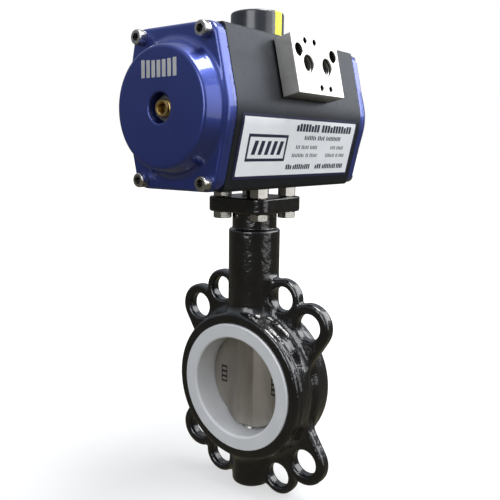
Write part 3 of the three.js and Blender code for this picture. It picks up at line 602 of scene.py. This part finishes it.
def casting_field(x, y, z):
    x, y = np.abs(x), np.abs(y)
    across = np.hypot(y, z)
    stem = np.hypot(x, y)
    groove = 2.6 * np.exp(-(x / 3.4) ** 2)
    step = 0.9 * np.clip((x - 16.5) / 1.6, 0, 1)
    rim_r = 60 - groove - step - 0.0035 * (x - 11) ** 2
    field = meet(across - rim_r, x - CASTING_X, 3.0)
    height = np.abs(z)
    ear = None
    for degrees, circle, _, boss, root in EARS:
        turn = math.radians(degrees)
        c, s = math.cos(turn), math.sin(turn)
        bar = capsule(y, height, (50 * c, 50 * s), root, (circle * c, circle * s), boss)
        ear = bar if ear is None else join(ear, bar, 3.0)
    ear = meet(ear, x - 5.0, 3.2)
    field = join(field, ear, 7.0)
    lower_neck = meet(stem - 20.0, z - 124.0, 2.0)
    upper_neck = meet(stem - 17.3, z - (FLANGE_BOTTOM + 2), 1.0)
    neck = meet(join(lower_neck, upper_neck, 1.2), 45 - z, 1.0)
    field = join(field, neck, 7.0)
    hub = meet(meet(stem - 15.5, HUB_BOTTOM - z, 2.2), z + 45, 1.0)
    field = join(field, hub, 7.0)
    corner = 9.5
    qx, qy = np.maximum(x - (27.7 - corner), 0), np.maximum(y - (27.7 - corner), 0)
    plate = np.hypot(qx, qy) - corner + np.minimum(np.maximum(x, y) - (27.7 - corner), 0)
    plate = meet(meet(plate, z - FLANGE_TOP, 1.2), FLANGE_BOTTOM - z, 1.8)
    field = join(field, plate, 2.5)
    for degrees, circle, hole, _, _ in EARS:
        turn = math.radians(degrees)
        opening = np.hypot(y - circle * math.cos(turn), height - circle * math.sin(turn)) - hole
        field = meet(field, -opening, 3.2)
    field = meet(field, -(across - 46.1), 0.8)
    field = meet(field, -meet(across - 51.0, (CASTING_X - 1.2) - x, 0.2), 0.6)
    field = meet(field, -(stem - 7.5), 0.6)
    field = meet(field, -meet(stem - 10.1, 90 - z, 0.3), 0.8)
    field = meet(field, -meet(stem - 10.1, z + 56, 0.3), 0.8)
    bolts = meet(np.hypot(x - BOLT_XY, y - BOLT_XY) - 4.4, 120 - z, 0.5)
    return meet(field, -bolts, 0.8)


points, faces, normals = surface(casting_field, (0, 0, -89), (29, 73.5, 151), 1.2)
place(mesh_object("valve_casting", points, faces, None, normals), CASTING, "housing", "casting_black",
      "valve_body")

# The liner turns out over both faces of the casting.
lip = CASTING_X - 1.1
half = [(BORE_R, 0), (BORE_R, LINER_X - 4), (BORE_R, LINER_X, 4.2), (LINER_R, LINER_X, 1.0),
        (LINER_R, lip), (46.0, lip)]
profile = soft(half + [(p[0], -p[1], *p[2:]) for p in reversed(half)][:-1], 8)
liner = mesh_object("liner", *lathe(profile, "x", 128), sharp=40)
combine(liner, mesh_object("tool", *rod(7.5, -60, 60)))
place(shaded(liner, 40), PTFE, "housing", "ptfe", "seat_liner")


def disc_field(x, y, z):
    x, y = np.abs(x), np.abs(y)
    across = np.hypot(y, z)
    plate = x - np.where(across < 27, 4.7, 4.7 - (across - 27) * 0.19)
    hub = np.maximum(x - 9.5, (x + (y - 8.5) * 0.4 - 9.5) / 1.077)
    hub = meet(meet(hub, np.abs(z) - 36.1, 1.2), np.maximum(across - 38.2, y - 22), 1.0)
    field = join(plate, hub, 2.2)
    field = meet(field, across - 39.0, 1.6)
    return meet(field, -(np.hypot(x, y) - 7.15), 0.3)


points, faces, normals = surface(disc_field, (0, 0, -41), (15, 41, 41), 0.9)
place(mesh_object("disc", points, faces, None, normals), DISC_STEEL, "closure", "cast_stainless",
      "valve_disc")

# A cast mark, without letters, on each wing of both faces.
for face_side in (-1, 1):
    for wing in (-1, 1):
        mark = cuboid((4.55, 4.95), (22.0, 28.5), (-6.5, 7.5))
        bars = [cuboid((4.95, 5.2), (23.2, 27.3), (z, z + 2.2)) for z in (-4.8, -0.6, 3.6)]
        for name, mesh, material in (("mark", mark, RUBBER), ("mark_bars", together(*bars), DISC_STEEL)):
            points = np.asarray(mesh[0]) * np.array([face_side, wing, 1])
            turned_in = [f[::-1] for f in mesh[1]] if face_side * wing < 0 else mesh[1]
            side = "front" if face_side < 0 else "back"
            wing_name = "left" if wing > 0 else "right"
            made = mesh_object(f"disc_{name}_{side}_{wing_name}", points, turned_in)
            place(made, material, "closure", "cast_stainless")

stem = mesh_object("stem", *lathe(
    soft([(0, -73), (STEM_R, -73, 0.6), (STEM_R, 172, 0.8), (0, 172)]), "z", 64))
combine(stem, mesh_object("tool", *together(
    cuboid((5.5, 12), (-12, 12), (153, 175)), cuboid((-12, -5.5), (-12, 12), (153, 175)))))
combine(stem, mesh_object("tool", *together(
    cuboid((-12, 12), (5.5, 12), (153, 175)), cuboid((-12, 12), (-12, -5.5), (153, 175)))))
combine(stem, mesh_object("tool", *together(
    cuboid((6, 12), (-12, 12), (-30, 30)), cuboid((-12, -6), (-12, 12), (-30, 30)))))
place(stem, STAINLESS, "closure", "stainless", "valve_stem")

# ---- Bolts and spacer nuts between the valve and the actuator ----


def hex_part(name, across_flats, bottom, top, hole=0.0):
    """A hexagonal head or nut with its corners turned off, top and bottom."""
    made = mesh_object(name, *prism(hexagon(across_flats), "z", [(bottom, 0), (top, 0)]))
    corner = across_flats / 2 / math.cos(math.pi / 6)
    flat = across_flats / 2 - 0.2
    drop = (corner + 0.5 - flat) * math.tan(math.radians(30))
    cone = lathe([(0, bottom), (flat, bottom), (corner + 0.5, bottom + drop), (corner + 0.5, top - drop),
                  (flat, top), (0, top)], "z", 64)
    combine(made, mesh_object("tool", *cone), "INTERSECT")
    if hole:
        combine(made, mesh_object("tool", *rod(hole, bottom - 1, top + 1)))
    return broken_edges(made, 0.12, 2, 20)


def threaded(radius, start, end, pitch, depth):
    """The side of a thread, as rings: (radius, height) points from start to end."""
    made, height = [], start
    while height < end - pitch:
        made += [(radius, height), (radius, height + pitch * 0.2), (radius - depth, height + pitch * 0.5),
                 (radius - depth, height + pitch * 0.6)]
        height += pitch
    return made + [(radius, height), (radius, end)]


bolt_bottom, bolt_top = low("mounting_bolt_1")[2], high("mounting_bolt_1")[2]
for i, (sx, sy) in enumerate(CORNERS, 1):
    x, y = sx * BOLT_XY, sy * BOLT_XY
    head = hex_part(f"bolt_head_{i}", BOLT_HEX, bolt_bottom, FLANGE_BOTTOM - 0.1)
    shank = [(0, bolt_bottom + 3), (BOLT_R, bolt_bottom + 3), (BOLT_R, FLANGE_TOP - 2)]
    shank += threaded(BOLT_R, FLANGE_TOP - 1.5, bolt_top - 1, 1.25, 0.5) + [(3.2, bolt_top), (0, bolt_top)]
    combine(head, mesh_object("tool", *lathe(shank, "z", 32)), "UNION")
    nut = hex_part(f"nut_{i}", BOLT_HEX, FLANGE_TOP + 0.1, low("actuator_body")[2] - 0.1, 4.2)
    for made in (head, nut):
        made.data.transform(Matrix.Translation((x * MM, y * MM, 0)))
    place(head, STAINLESS, "housing", "stainless", f"mounting_bolt_{i}")
    place(nut, STAINLESS, "housing", "stainless", f"spacer_nut_{i}")

# ---- Actuator body ----


def hex_outline(corner):
    """The extrusion's outline as (y, z) about its axis, anticlockwise."""
    c, s = math.cos(SIDE_TILT), math.sin(SIDE_TILT)
    top_y = (SIDE_R - HALF_HEIGHT * s) / c
    turns = [SIDE_TILT * k / 6 for k in range(-6, 7)]
    arc = [(SIDE_R * math.cos(turn), SIDE_R * math.sin(turn)) for turn in turns]
    right = [(top_y, -HALF_HEIGHT, corner)] + arc + [(top_y, HALF_HEIGHT, corner)]
    left = [(-p[0], -p[1], *p[2:]) for p in right]
    return soft(right + left, 5)


end = BODY_X - 0.4
body = mesh_object("body", *moved(prism(hex_outline(3), "x", [(-BODY_X, 0.4), (-end, 0), (end, 0),
                                                            (BODY_X, 0.4)]), z=AXIS_Z))
cylinder = rod(CYLINDER_R, -90, 90, "x", segments=96)
combine(body, mesh_object("tool", *moved(cylinder, z=AXIS_Z)))
tools = [rod(16.6, AXIS_Z, AXIS_Z + 60, segments=64), rod(17.1, AXIS_Z - 60, AXIS_Z, segments=64)]
tools += [rod(2.2, AXIS_Z + HALF_HEIGHT - 8, AXIS_Z + 60, "z", (sx * 40, sy * 15, 0), 24)
          for sx, sy in CORNERS]
tools += [rod(4.3, AXIS_Z - 60, AXIS_Z - HALF_HEIGHT + 12, "z", (sx * BOLT_XY, sy * BOLT_XY, 0), 24)
          for sx, sy in CORNERS]
tools += [rod(CAP_SCREW_HOLE_R, *sorted((side * 62, side * 90)), "x",
              (0, sy * CAP_SCREW_Y, AXIS_Z + sz * CAP_SCREW_Z), 24)
          for side in (-1, 1) for sy, sz in CORNERS]
tools += [tilted(rod(2.7, 36, 50, "-y", (sx * MANIFOLD_SCREW_X, 0, MANIFOLD_SCREW_Z), 24))
          for sx in (-1, 1)]
combine(body, mesh_object("tool", *together(*tools)))
broken_edges(body, 0.25, 2, 40)
place(body, ANODISED, "housing", "body_anodised", "actuator_body")

# ---- End caps ----

DOME_BASE_R, DOME_FRONT_R = 44.2, 38.9
RECESS_R, RECESS_FLOOR = 9.75, CAP_FRONT - 10
STOP_HOLE_R = 6.2


def cap_field(y, z, x):
    """The cap's distance field. Its two planes of symmetry come first, and x is along the pipe."""
    y, z = np.abs(y), np.abs(z)
    c, s = math.cos(SIDE_TILT), math.sin(SIDE_TILT)
    flat = y * c + z * s - SIDE_R
    side = np.where(z * c > y * s, flat, np.hypot(y, z) - SIDE_R)
    outline = meet(side, z - HALF_HEIGHT, 9.0)
    flange = meet(outline, x - FLANGE_X, 2.6)
    across = np.hypot(y, z)
    dome_r = DOME_BASE_R - (x - FLANGE_X) * (DOME_BASE_R - DOME_FRONT_R) / (CAP_FRONT - FLANGE_X)
    dome = meet(meet(across - dome_r, x - CAP_FRONT, 1.8), FLANGE_X - 4 - x, 0.5)
    field = join(flange, dome, 3.2)
    field = np.maximum(field, BODY_X + 0.1 - x)
    spigot = np.maximum(across - 39.6, BODY_X - 4 - x)
    field = np.minimum(field, np.maximum(spigot, x - FLANGE_X))
    hollow_r = np.where(x < FLANGE_X, 35.0, 35.0 - (x - FLANGE_X) * 0.28)
    hollow = np.maximum(across - hollow_r, x - (CAP_FRONT - 6))
    boss = np.maximum(across - 13, RECESS_FLOOR - 8 - x)
    field = meet(field, -np.maximum(hollow, -boss), 0.8)
    field = meet(field, -np.maximum(across - RECESS_R, RECESS_FLOOR - x), 1.0)
    field = np.maximum(field, -(across - STOP_HOLE_R))
    screws = np.hypot(y - CAP_SCREW_Y, z - CAP_SCREW_Z)
    return meet(field, -(screws - CAP_SCREW_HOLE_R), 0.6)


points, faces, normals = surface(cap_field, (0, 0, 75), (47.5, 54.5, CAP_FRONT + 1), 1.0)
for side, sign in (("left", -1), ("right", 1)):
    turned_about = np.stack([points[:, 2] * sign, points[:, 0], points[:, 1] + AXIS_Z], 1)
    facing = np.stack([normals[:, 2] * sign, normals[:, 0], normals[:, 1]], 1)
    wound = faces if sign > 0 else faces[:, ::-1]
    made = mesh_object(f"cap_{side}", turned_about, wound, None, facing)
    place(made, BLUE, "housing", "cap_blue", f"end_cap_{side}")

# Plain silver bars where the caps are printed.
for side, sign in (("left", -1), ("right", 1)):
    bars = []
    for i in range(7):
        middle = (i - 3) * 4.7
        top, bottom = 29.5 + 0.15 * abs(i - 3) ** 1.5, 19.0
        outline = soft([(middle - 1.6, bottom, 0.4), (middle + 1.6, bottom, 0.4),
                        (middle + 1.6, top, 0.4), (middle - 1.6, top, 0.4)], 2)
        bars.append(prism(outline, "x", [(CAP_FRONT - 0.2, 0), (CAP_FRONT + 0.06, 0)]))
    bars = moved(together(*bars), z=AXIS_Z)
    made = mesh_object(f"cap_print_{side}", *(bars if sign > 0 else mirrored(bars)))
    place(made, SILVER_INK, "housing", "stainless")

# ---- Cap screws, stop screws and lock nuts ----


def socket_tool(across_flats, top, depth):
    """A hexagon socket, sunk from a face at the given height along +X."""
    return prism(hexagon(across_flats), "x", [(top - depth, 0), (top + 1, 0)])


def cap_screw(name, head_r, head, shank_r, shank, socket, pitch):
    """A socket-head cap screw along +X, with a knurled head whose underside is at x = 0."""
    profile = [(0, -shank), (shank_r - 0.5, -shank)]
    profile += threaded(shank_r, -shank + 0.6, -3, pitch, pitch * 0.4)
    knurl = len(profile) + 3
    profile += [(shank_r, 0), (head_r - 0.35, 0), (head_r, 0.35), (head_r, 0.6), (head_r, head - 1.0),
                (head_r - 0.12, head - 0.9), (head_r - 0.3, head - 0.4), (head_r - 0.8, head),
                (0, head)]
    ripple = lambda i, k: -0.16 if i in (knurl, knurl + 1) and k % 2 else 0.0
    made = mesh_object(name, *lathe(profile, "x", 72, ripple=ripple), sharp=25)
    combine(made, mesh_object("tool", *socket_tool(socket, head, head * 0.55)))
    return shaded(made, 25)


pattern = cap_screw("cap_screw_pattern", 5.0, 6.0, 2.9, 24.0, 5.0, 1.0)
for side, sign in (("left", -1), ("right", 1)):
    for i, (sy, sz) in enumerate(CORNERS, 1):
        made = bpy.data.objects.new(f"cap_screw_{side}_{i}", pattern.data.copy())
        scene.collection.objects.link(made)
        turn = Matrix.Rotation(0.35 * i + sign, 4, "X")
        if sign < 0:
            turn = Matrix.Rotation(math.pi, 4, "Z") @ turn
        seat = (sign * (FLANGE_X + 0.1), sy * CAP_SCREW_Y, AXIS_Z + sz * CAP_SCREW_Z)
        shift = Matrix.Translation(Vector(seat) * MM)
        made.data.transform(shift @ turn)
        place(made, STAINLESS, "housing", "stainless", f"end_cap_screw_{side}_{i}")
bpy.data.objects.remove(pattern)

for side, sign in (("left", -1), ("right", 1)):
    tip, tail = high("stop_screw_right")[0], low("stop_screw_right")[0]
    profile = [(0, tail), (5.1, tail)] + threaded(5.75, tail + 0.6, tip - 1.0, 1.75, 0.85)
    profile += [(5.75, tip - 0.6), (5.2, tip), (0, tip)]
    screw = mesh_object(f"stop_screw_turned_{side}", *lathe(profile, "x", 48), sharp=30)
    combine(screw, mesh_object("tool", *socket_tool(6.5, tip, 5)))
    mouth = lathe([(0, tip - 1.0), (3.2, tip - 1.0), (4.4, tip + 0.2), (0, tip + 0.2)])
    combine(screw, mesh_object("tool", *mouth))
    nut_low, nut_high = low("stop_lock_nut_right")[0], high("stop_lock_nut_right")[0]
    nut = mesh_object(f"lock_nut_{side}", *prism(hexagon(16), "x", [(nut_low, 0), (nut_high - 0.7, 0),
                                                                     (nut_high, 0.7)]))
    combine(nut, mesh_object("tool", *rod(6.0, nut_low - 1, nut_high + 1, "x")))
    for made, material, slot, node in ((screw, BRASS, "brass", "stop_screw"),
                                       (nut, STEEL, "steel", "stop_lock_nut")):
        shaded(made, 30)
        made.data.transform(Matrix.Translation((0, 0, AXIS_Z * MM)))
        if sign < 0:
            made.data.transform(Matrix.Rotation(math.pi, 4, "Z"))
        place(made, material, "housing", slot, f"{node}_{side}")

# ---- Air manifold ----

half_width, half_height = 30, 20.15
plate = soft([(-half_width, -half_height, 0.6), (half_width, -half_height, 0.6),
              (half_width, half_height, 0.6), (-half_width, half_height, 0.6)], 2)
manifold = mesh_object("manifold", *tilted(moved(
    prism(plate, "-y", [(MANIFOLD_BACK, 0.3), (MANIFOLD_BACK + 0.3, 0), (MANIFOLD_FRONT - 0.3, 0),
                        (MANIFOLD_FRONT, 0.3)]), z=MANIFOLD_Z)))
face = MANIFOLD_FRONT


def port_tool(x, z):
    """A tapped port: a countersunk mouth, thread grooves and a drilled way through."""
    profile = [(0, MANIFOLD_BACK - 1), (3, MANIFOLD_BACK - 1), (3, face - 10), (5.6, face - 10)]
    depth = face - 9.4
    while depth < face - 1.8:
        profile += [(5.6, depth), (6.05, depth + 0.45), (6.05, depth + 0.6)]
        depth += 1.3
    profile += [(6.0, face - 0.6), (6.8, face + 0.2), (6.8, face + 1), (0, face + 1)]
    return lathe(profile, "-y", 48, (x, 0, z))


tools = [port_tool(-12, PORT_Z), port_tool(12, PORT_Z)]
for sx in (-1, 1):
    step = face - MANIFOLD_SCREW_SUNK
    tools.append(lathe([(0, MANIFOLD_BACK - 1), (2.8, MANIFOLD_BACK - 1), (2.8, step), (4.5, step),
                        (4.5, face - 0.3), (4.9, face + 0.1), (4.9, face + 1), (0, face + 1)], "-y", 40,
                       (sx * MANIFOLD_SCREW_X, 0, MANIFOLD_SCREW_Z)))
for x, z in ((-12.6, 16.8), (-0.6, 16.8), (0.2, -15.2), (12.2, -15.2)):
    tools.append(lathe([(0, face - 8.5), (2.2, face - 8), (2.2, face - 0.4), (2.6, face + 0.1),
                        (2.6, face + 1), (0, face + 1)], "-y", 28, (x, 0, MANIFOLD_Z + z)))
STROKES = {"2": "abged", "4": "fgbc"}
for digit, x in (("2", -17.5), ("4", 17.5)):
    w, h = 1.1, 1.6
    spans = {"a": ((-w, w), (2 * h, 2 * h)), "g": ((-w, w), (0, 0)), "d": ((-w, w), (-2 * h, -2 * h)),
             "f": ((-w - 0.5, -w - 0.5), (0.5, 2 * h - 0.5)), "b": ((w + 0.5, w + 0.5), (0.5, 2 * h - 0.5)),
             "e": ((-w - 0.5, -w - 0.5), (-2 * h + 0.5, -0.5)),
             "c": ((w + 0.5, w + 0.5), (-2 * h + 0.5, -0.5))}
    for stroke in STROKES[digit]:
        (x0, x1), (z0, z1) = spans[stroke]
        tools.append(cuboid((x + x0 - 0.2, x + x1 + 0.2), (-face - 1, -face + 0.3),
                            (MANIFOLD_Z - 8.5 + z0 - 0.2, MANIFOLD_Z - 8.5 + z1 + 0.2)))
combine(manifold, mesh_object("tool", *tilted(together(*tools))))
place(shaded(manifold, 28), ALUMINIUM, "housing", "bare_aluminium", "manifold_block")

for side, sign in (("left", -1), ("right", 1)):
    made = cap_screw(f"manifold_screw_{side}_turned", 4.2, 4.5, 2.4, 13.0, 4.0, 0.8)
    turn = Matrix.Rotation(-math.pi / 2, 4, "Z") @ Matrix.Rotation(0.4 + sign, 4, "X")
    made.data.transform(turn)
    seat = face - MANIFOLD_SCREW_SUNK + 0.1
    made.data.transform(Matrix.Translation((sign * MANIFOLD_SCREW_X * MM, -seat * MM, MANIFOLD_SCREW_Z * MM)))
    made.data.transform(Matrix.Translation((0, 0, AXIS_Z * MM)) @ Matrix.Rotation(-SIDE_TILT, 4, "X"))
    place(made, STAINLESS, "housing", "stainless", f"manifold_screw_{side}")

# ---- Label ----

LABEL_W, LABEL_H, ON_ARC = 144.0, 39.5, 6.0


def on_label(u, v, lift):
    """A point u across the label from its left edge and v down it, lifted off the body."""
    s, c = math.sin(SIDE_TILT), math.cos(SIDE_TILT)
    radius = SIDE_R + 0.1 + lift
    down = v - ON_ARC
    if down < 0:
        turn = SIDE_TILT + down / SIDE_R
        return (u - LABEL_W / 2, -radius * math.cos(turn), AXIS_Z - radius * math.sin(turn))
    return (u - LABEL_W / 2, -radius * c + down * s, AXIS_Z - radius * s - down * c)


def film(u0, v0, u1, v1, bottom, top, lean=0.0, corner=0.0):
    """A patch of film between two corners. Lean shifts its top edge along."""
    rows = max(2, int((v1 - v0) / 1.2) + 1) if v0 < ON_ARC + 1 else 2
    points, faces = [], []
    for lift in (bottom, top):
        for i in range(rows):
            v = v0 + (v1 - v0) * i / (rows - 1)
            edge = min(v - v0, v1 - v)
            trim = corner - math.sqrt(max(corner ** 2 - (corner - edge) ** 2, 0)) if edge < corner else 0
            shift = lean * (1 - i / (rows - 1))
            points += [on_label(u0 + shift + trim, v, lift), on_label(u1 + shift - trim, v, lift)]
    n = 2 * rows
    for i in range(rows - 1):
        a = 2 * i
        faces += [[a, a + 2, a + 3, a + 1], [n + a, n + a + 1, n + a + 3, n + a + 2],
                  [a, n + a, n + a + 2, a + 2], [a + 1, a + 3, n + a + 3, n + a + 1]]
    faces += [[0, 1, n + 1, n], [n - 2, 2 * n - 2, 2 * n - 1, n - 1]]
    return outward(np.array(points), faces)


made = mesh_object("label_backing", *film(-2.4, -2.0, LABEL_W + 2.4, LABEL_H + 2.2, -0.05, 0.22))
place(made, NAVY, "housing", "label_film")
made = mesh_object("label_sheet", *film(0, 0, LABEL_W, LABEL_H, 0.0, 0.34))
place(made, FILM, "housing", "label_film", "label_plate")

# Generic print: a barred panel, and bars where a label has its lines of words.
ink = [film(7, 11, 52, 13, 0.3, 0.4), film(7, 27.5, 52, 29.5, 0.3, 0.4),
       film(7, 13.01, 9, 27.49, 0.3, 0.4), film(50, 13.01, 52, 27.49, 0.3, 0.4)]
ink += [film(12.5 + 7.2 * i, 15.5, 16.5 + 7.2 * i, 25, 0.3, 0.4, 2.4) for i in range(5)]
WORDS = [
    (2.6, 5.4, 0.75, [(60.5, 91), (94, 138.5)]),
    (10.8, 3.2, 0.55, [(73, 89), (91, 101), (103, 125)]),
    (18.0, 2.7, 0.45, [(64, 70), (71.5, 81.5), (83, 93), (112, 120), (121.5, 132)]),
    (24.0, 2.7, 0.45, [(61, 77), (79, 83), (84.5, 95), (107, 121), (122.5, 126), (127.5, 136)]),
    (32.0, 3.6, 0.7, [(56, 64), (65, 88), (95, 104), (105.5, 126), (127, 137)]),
]
for v, height, weight, spans in WORDS:  # each is one row: its top, height, the ink's share, its words
    pitch = height * 0.72
    for start, stop in spans:
        count = max(1, round((stop - start) / pitch))
        width = (stop - start) / count
        for k in range(count):
            tall = height if (k * 7 + int(start)) % 5 else height * 0.8
            ink.append(film(start + k * width, v + height - tall,
                            start + (k + weight) * width, v + height, 0.3, 0.4))
place(mesh_object("label_print", *together(*ink)), INK, "housing", "label_film")

# ---- Indicator ----

CAP_R, CAP_BOTTOM, CAP_TOP = 19.8, low("indicator_cap")[2], high("indicator_cap")[2]


def indicator_solid(name, radius, top):
    return mesh_object(name, *lathe(soft([
        (0, CAP_BOTTOM), (radius - 0.5, CAP_BOTTOM), (radius, CAP_BOTTOM + 0.5), (radius, top, 1.7),
        (0, top)], 6), "z", 128))


def stripe_tool(half_width, eye):
    made = mesh_object("stripe_tool", *cuboid((-half_width, half_width), (-25, 25),
                                              (CAP_BOTTOM - 2, CAP_TOP + 2)))
    return combine(made, mesh_object("tool", *rod(eye, CAP_TOP - 5, CAP_TOP + 1.5, segments=64)), "UNION")


cap = indicator_solid("indicator", CAP_R, CAP_TOP)
shell = stripe_tool(4.05, 7.45)
combine(shell, indicator_solid("tool", CAP_R - 1.25, CAP_TOP - 1.25))
combine(cap, shell)
combine(cap, mesh_object("tool", *lathe([(0, CAP_BOTTOM - 2), (17.8, CAP_BOTTOM - 2), (17.8, AXIS_Z + 59),
                                         (12.2, AXIS_Z + 59), (12.2, AXIS_Z + 67.2), (2.9, AXIS_Z + 67.2),
                                         (2.9, CAP_TOP - 4), (5.2, CAP_TOP - 4), (5.2, CAP_TOP + 1),
                                         (0, CAP_TOP + 1)], "z", 64)))
place(broken_edges(cap, 0.15, 2, 40), INDICATOR, "pinion", "indicator_black", "indicator_cap")

stripe = indicator_solid("stripe", CAP_R, CAP_TOP)
combine(stripe, stripe_tool(4.0, 7.4), "INTERSECT")
combine(stripe, indicator_solid("tool", CAP_R - 1.2, CAP_TOP - 1.2))
combine(stripe, mesh_object("tool", *rod(5.2, CAP_TOP - 6, CAP_TOP + 2, segments=64)))
combine(stripe, mesh_object("tool", *rod(18.6, CAP_BOTTOM - 4, CAP_BOTTOM + 5, segments=64)))
place(broken_edges(stripe, 0.12, 2, 40), YELLOW, "pinion", "indicator_yellow", "indicator_stripe")

tip = high("indicator_screw")[2]
screw = mesh_object("indicator_screw_turned", *lathe(
    [(0, tip - 15), (2.0, tip - 15)] + threaded(2.4, tip - 14.5, tip - 3.2, 0.8, 0.35)
    + [(2.4, tip - 3), (4.9, tip - 3), (5.0, tip - 2.8), (5.0, tip - 1.2), (4.4, tip - 0.3), (3.6, tip),
       (0, tip)],
    "z", 48), sharp=30)
combine(screw, mesh_object("tool", *prism(hexagon(3), "z", [(tip - 2, 0), (tip + 1, 0)])))
place(screw, STAINLESS, "pinion", "stainless", "indicator_screw")

# ---- Floor, light and camera ----

floor_z, floor_half = CAD_BOX[0][2], 30
floor_mesh = bpy.data.meshes.new("floor")
floor_mesh.from_pydata([(x * floor_half, y * floor_half, floor_z) for x, y in CORNERS[2:] + CORNERS[:2]], [],
                       [(0, 1, 2, 3)])
floor = bpy.data.objects.new("floor", floor_mesh)
scene.collection.objects.link(floor)
paper = Nodes("pale_paper", Roughness=0.9)
paper.set(Specular_IOR_Level=0.0)
paper.colour(paper.ramp(paper.noise(3, 2), (0.3, (0.34, 0.34, 0.34)), (0.7, (0.36, 0.36, 0.36))))
# It glows more with distance, so that it runs into the white backdrop with no horizon.
reach = paper.new("VectorMath", operation="LENGTH")
paper.link(paper.coordinates(), reach.inputs[0])
glow = paper.ramp(reach.outputs["Value"], (0.15, 0.55), (0.9, 1.0))
paper.link(glow, paper.shader.inputs["Emission Color"])
paper.set(Emission_Strength=1.0)
floor.data.materials.append(paper.material)
floor.visible_glossy = False
floor.visible_diffuse = False

world = bpy.data.worlds.new("studio")
world.use_nodes = True
scene.world = world
nodes, links = world.node_tree.nodes, world.node_tree.links
room = nodes["Background"]
direction = nodes.new("ShaderNodeTexCoord")
height = nodes.new("ShaderNodeSeparateXYZ")
to_share = nodes.new("ShaderNodeMapRange")
to_share.inputs["From Min"].default_value = -1
shade = nodes.new("ShaderNodeValToRGB")
ROOM = [(0.0, (0.17, 0.155, 0.11)), (0.48, (0.08, 0.075, 0.06)), (0.54, (0.15, 0.16, 0.18)),
        (0.75, (0.34, 0.37, 0.41)), (1.0, (0.60, 0.62, 0.65))]
while len(shade.color_ramp.elements) < len(ROOM):
    shade.color_ramp.elements.new(0.5)
for element, (share, colour) in zip(shade.color_ramp.elements, ROOM):
    element.position = share
    element.color = (*colour, 1)
backdrop = nodes.new("ShaderNodeBackground")
backdrop.inputs["Color"].default_value = (1, 1, 1, 1)
seen = nodes.new("ShaderNodeLightPath")
mix = nodes.new("ShaderNodeMixShader")
links.new(direction.outputs["Generated"], height.inputs["Vector"])
links.new(height.outputs["Z"], to_share.inputs["Value"])
links.new(to_share.outputs["Result"], shade.inputs["Fac"])
links.new(shade.outputs["Color"], room.inputs["Color"])
links.new(seen.outputs["Is Camera Ray"], mix.inputs["Fac"])
links.new(room.outputs["Background"], mix.inputs[1])
links.new(backdrop.outputs["Background"], mix.inputs[2])
links.new(mix.outputs["Shader"], nodes["World Output"].inputs["Surface"])

TARGET = Vector((0, 0, 0.12))


def softbox(name, towards, distance, width, height, power, colour=(1, 1, 1)):
    """A rectangular lamp in the given direction from the object, facing it."""
    light = bpy.data.lights.new(name, "AREA")
    light.shape = "RECTANGLE"
    light.size, light.size_y = width, height
    light.energy = power
    light.color = colour
    made = bpy.data.objects.new(name, light)
    made.location = TARGET + Vector(towards).normalized() * distance
    made.rotation_euler = (TARGET - made.location).to_track_quat("-Z", "Y").to_euler()
    made.visible_camera = False
    scene.collection.objects.link(made)


softbox("side", (0.60, -0.60, 0.50), 1.4, 1.5, 1.1, 16, (0.97, 0.99, 1.0))
softbox("overhead", (0.15, -0.25, 1.0), 1.3, 0.9, 0.5, 20, (1.0, 0.99, 0.97))
softbox("front", (0.10, -1.0, 0.25), 1.4, 1.0, 1.2, 5, (1.0, 1.0, 1.0))
softbox("window", (-0.95, -0.15, 0.30), 1.6, 0.9, 1.0, 10, (0.95, 0.97, 1.0))

LENS = 45.49
CAMERA_PLACE = (-0.3909017, -0.2974501, 0.1851286)
CAMERA_FORWARD = (0.78178555, 0.60311283, -0.15832332)
CAMERA_UP = (0.11750419, 0.10686305, 0.98730596)
camera_data = bpy.data.cameras.new("camera")
camera_data.lens = LENS
camera_data.sensor_width = 36
camera_data.clip_end = 100
camera = bpy.data.objects.new("camera", camera_data)
forward = Vector(CAMERA_FORWARD).normalized()
right = forward.cross(Vector(CAMERA_UP)).normalized()
up = right.cross(forward)
camera.matrix_world = Matrix.Translation(CAMERA_PLACE) @ Matrix(
    (right, up, -forward)).transposed().to_4x4()
scene.collection.objects.link(camera)
scene.camera = camera
scene.view_settings.view_transform = "Standard"

bpy.context.view_layer.update()
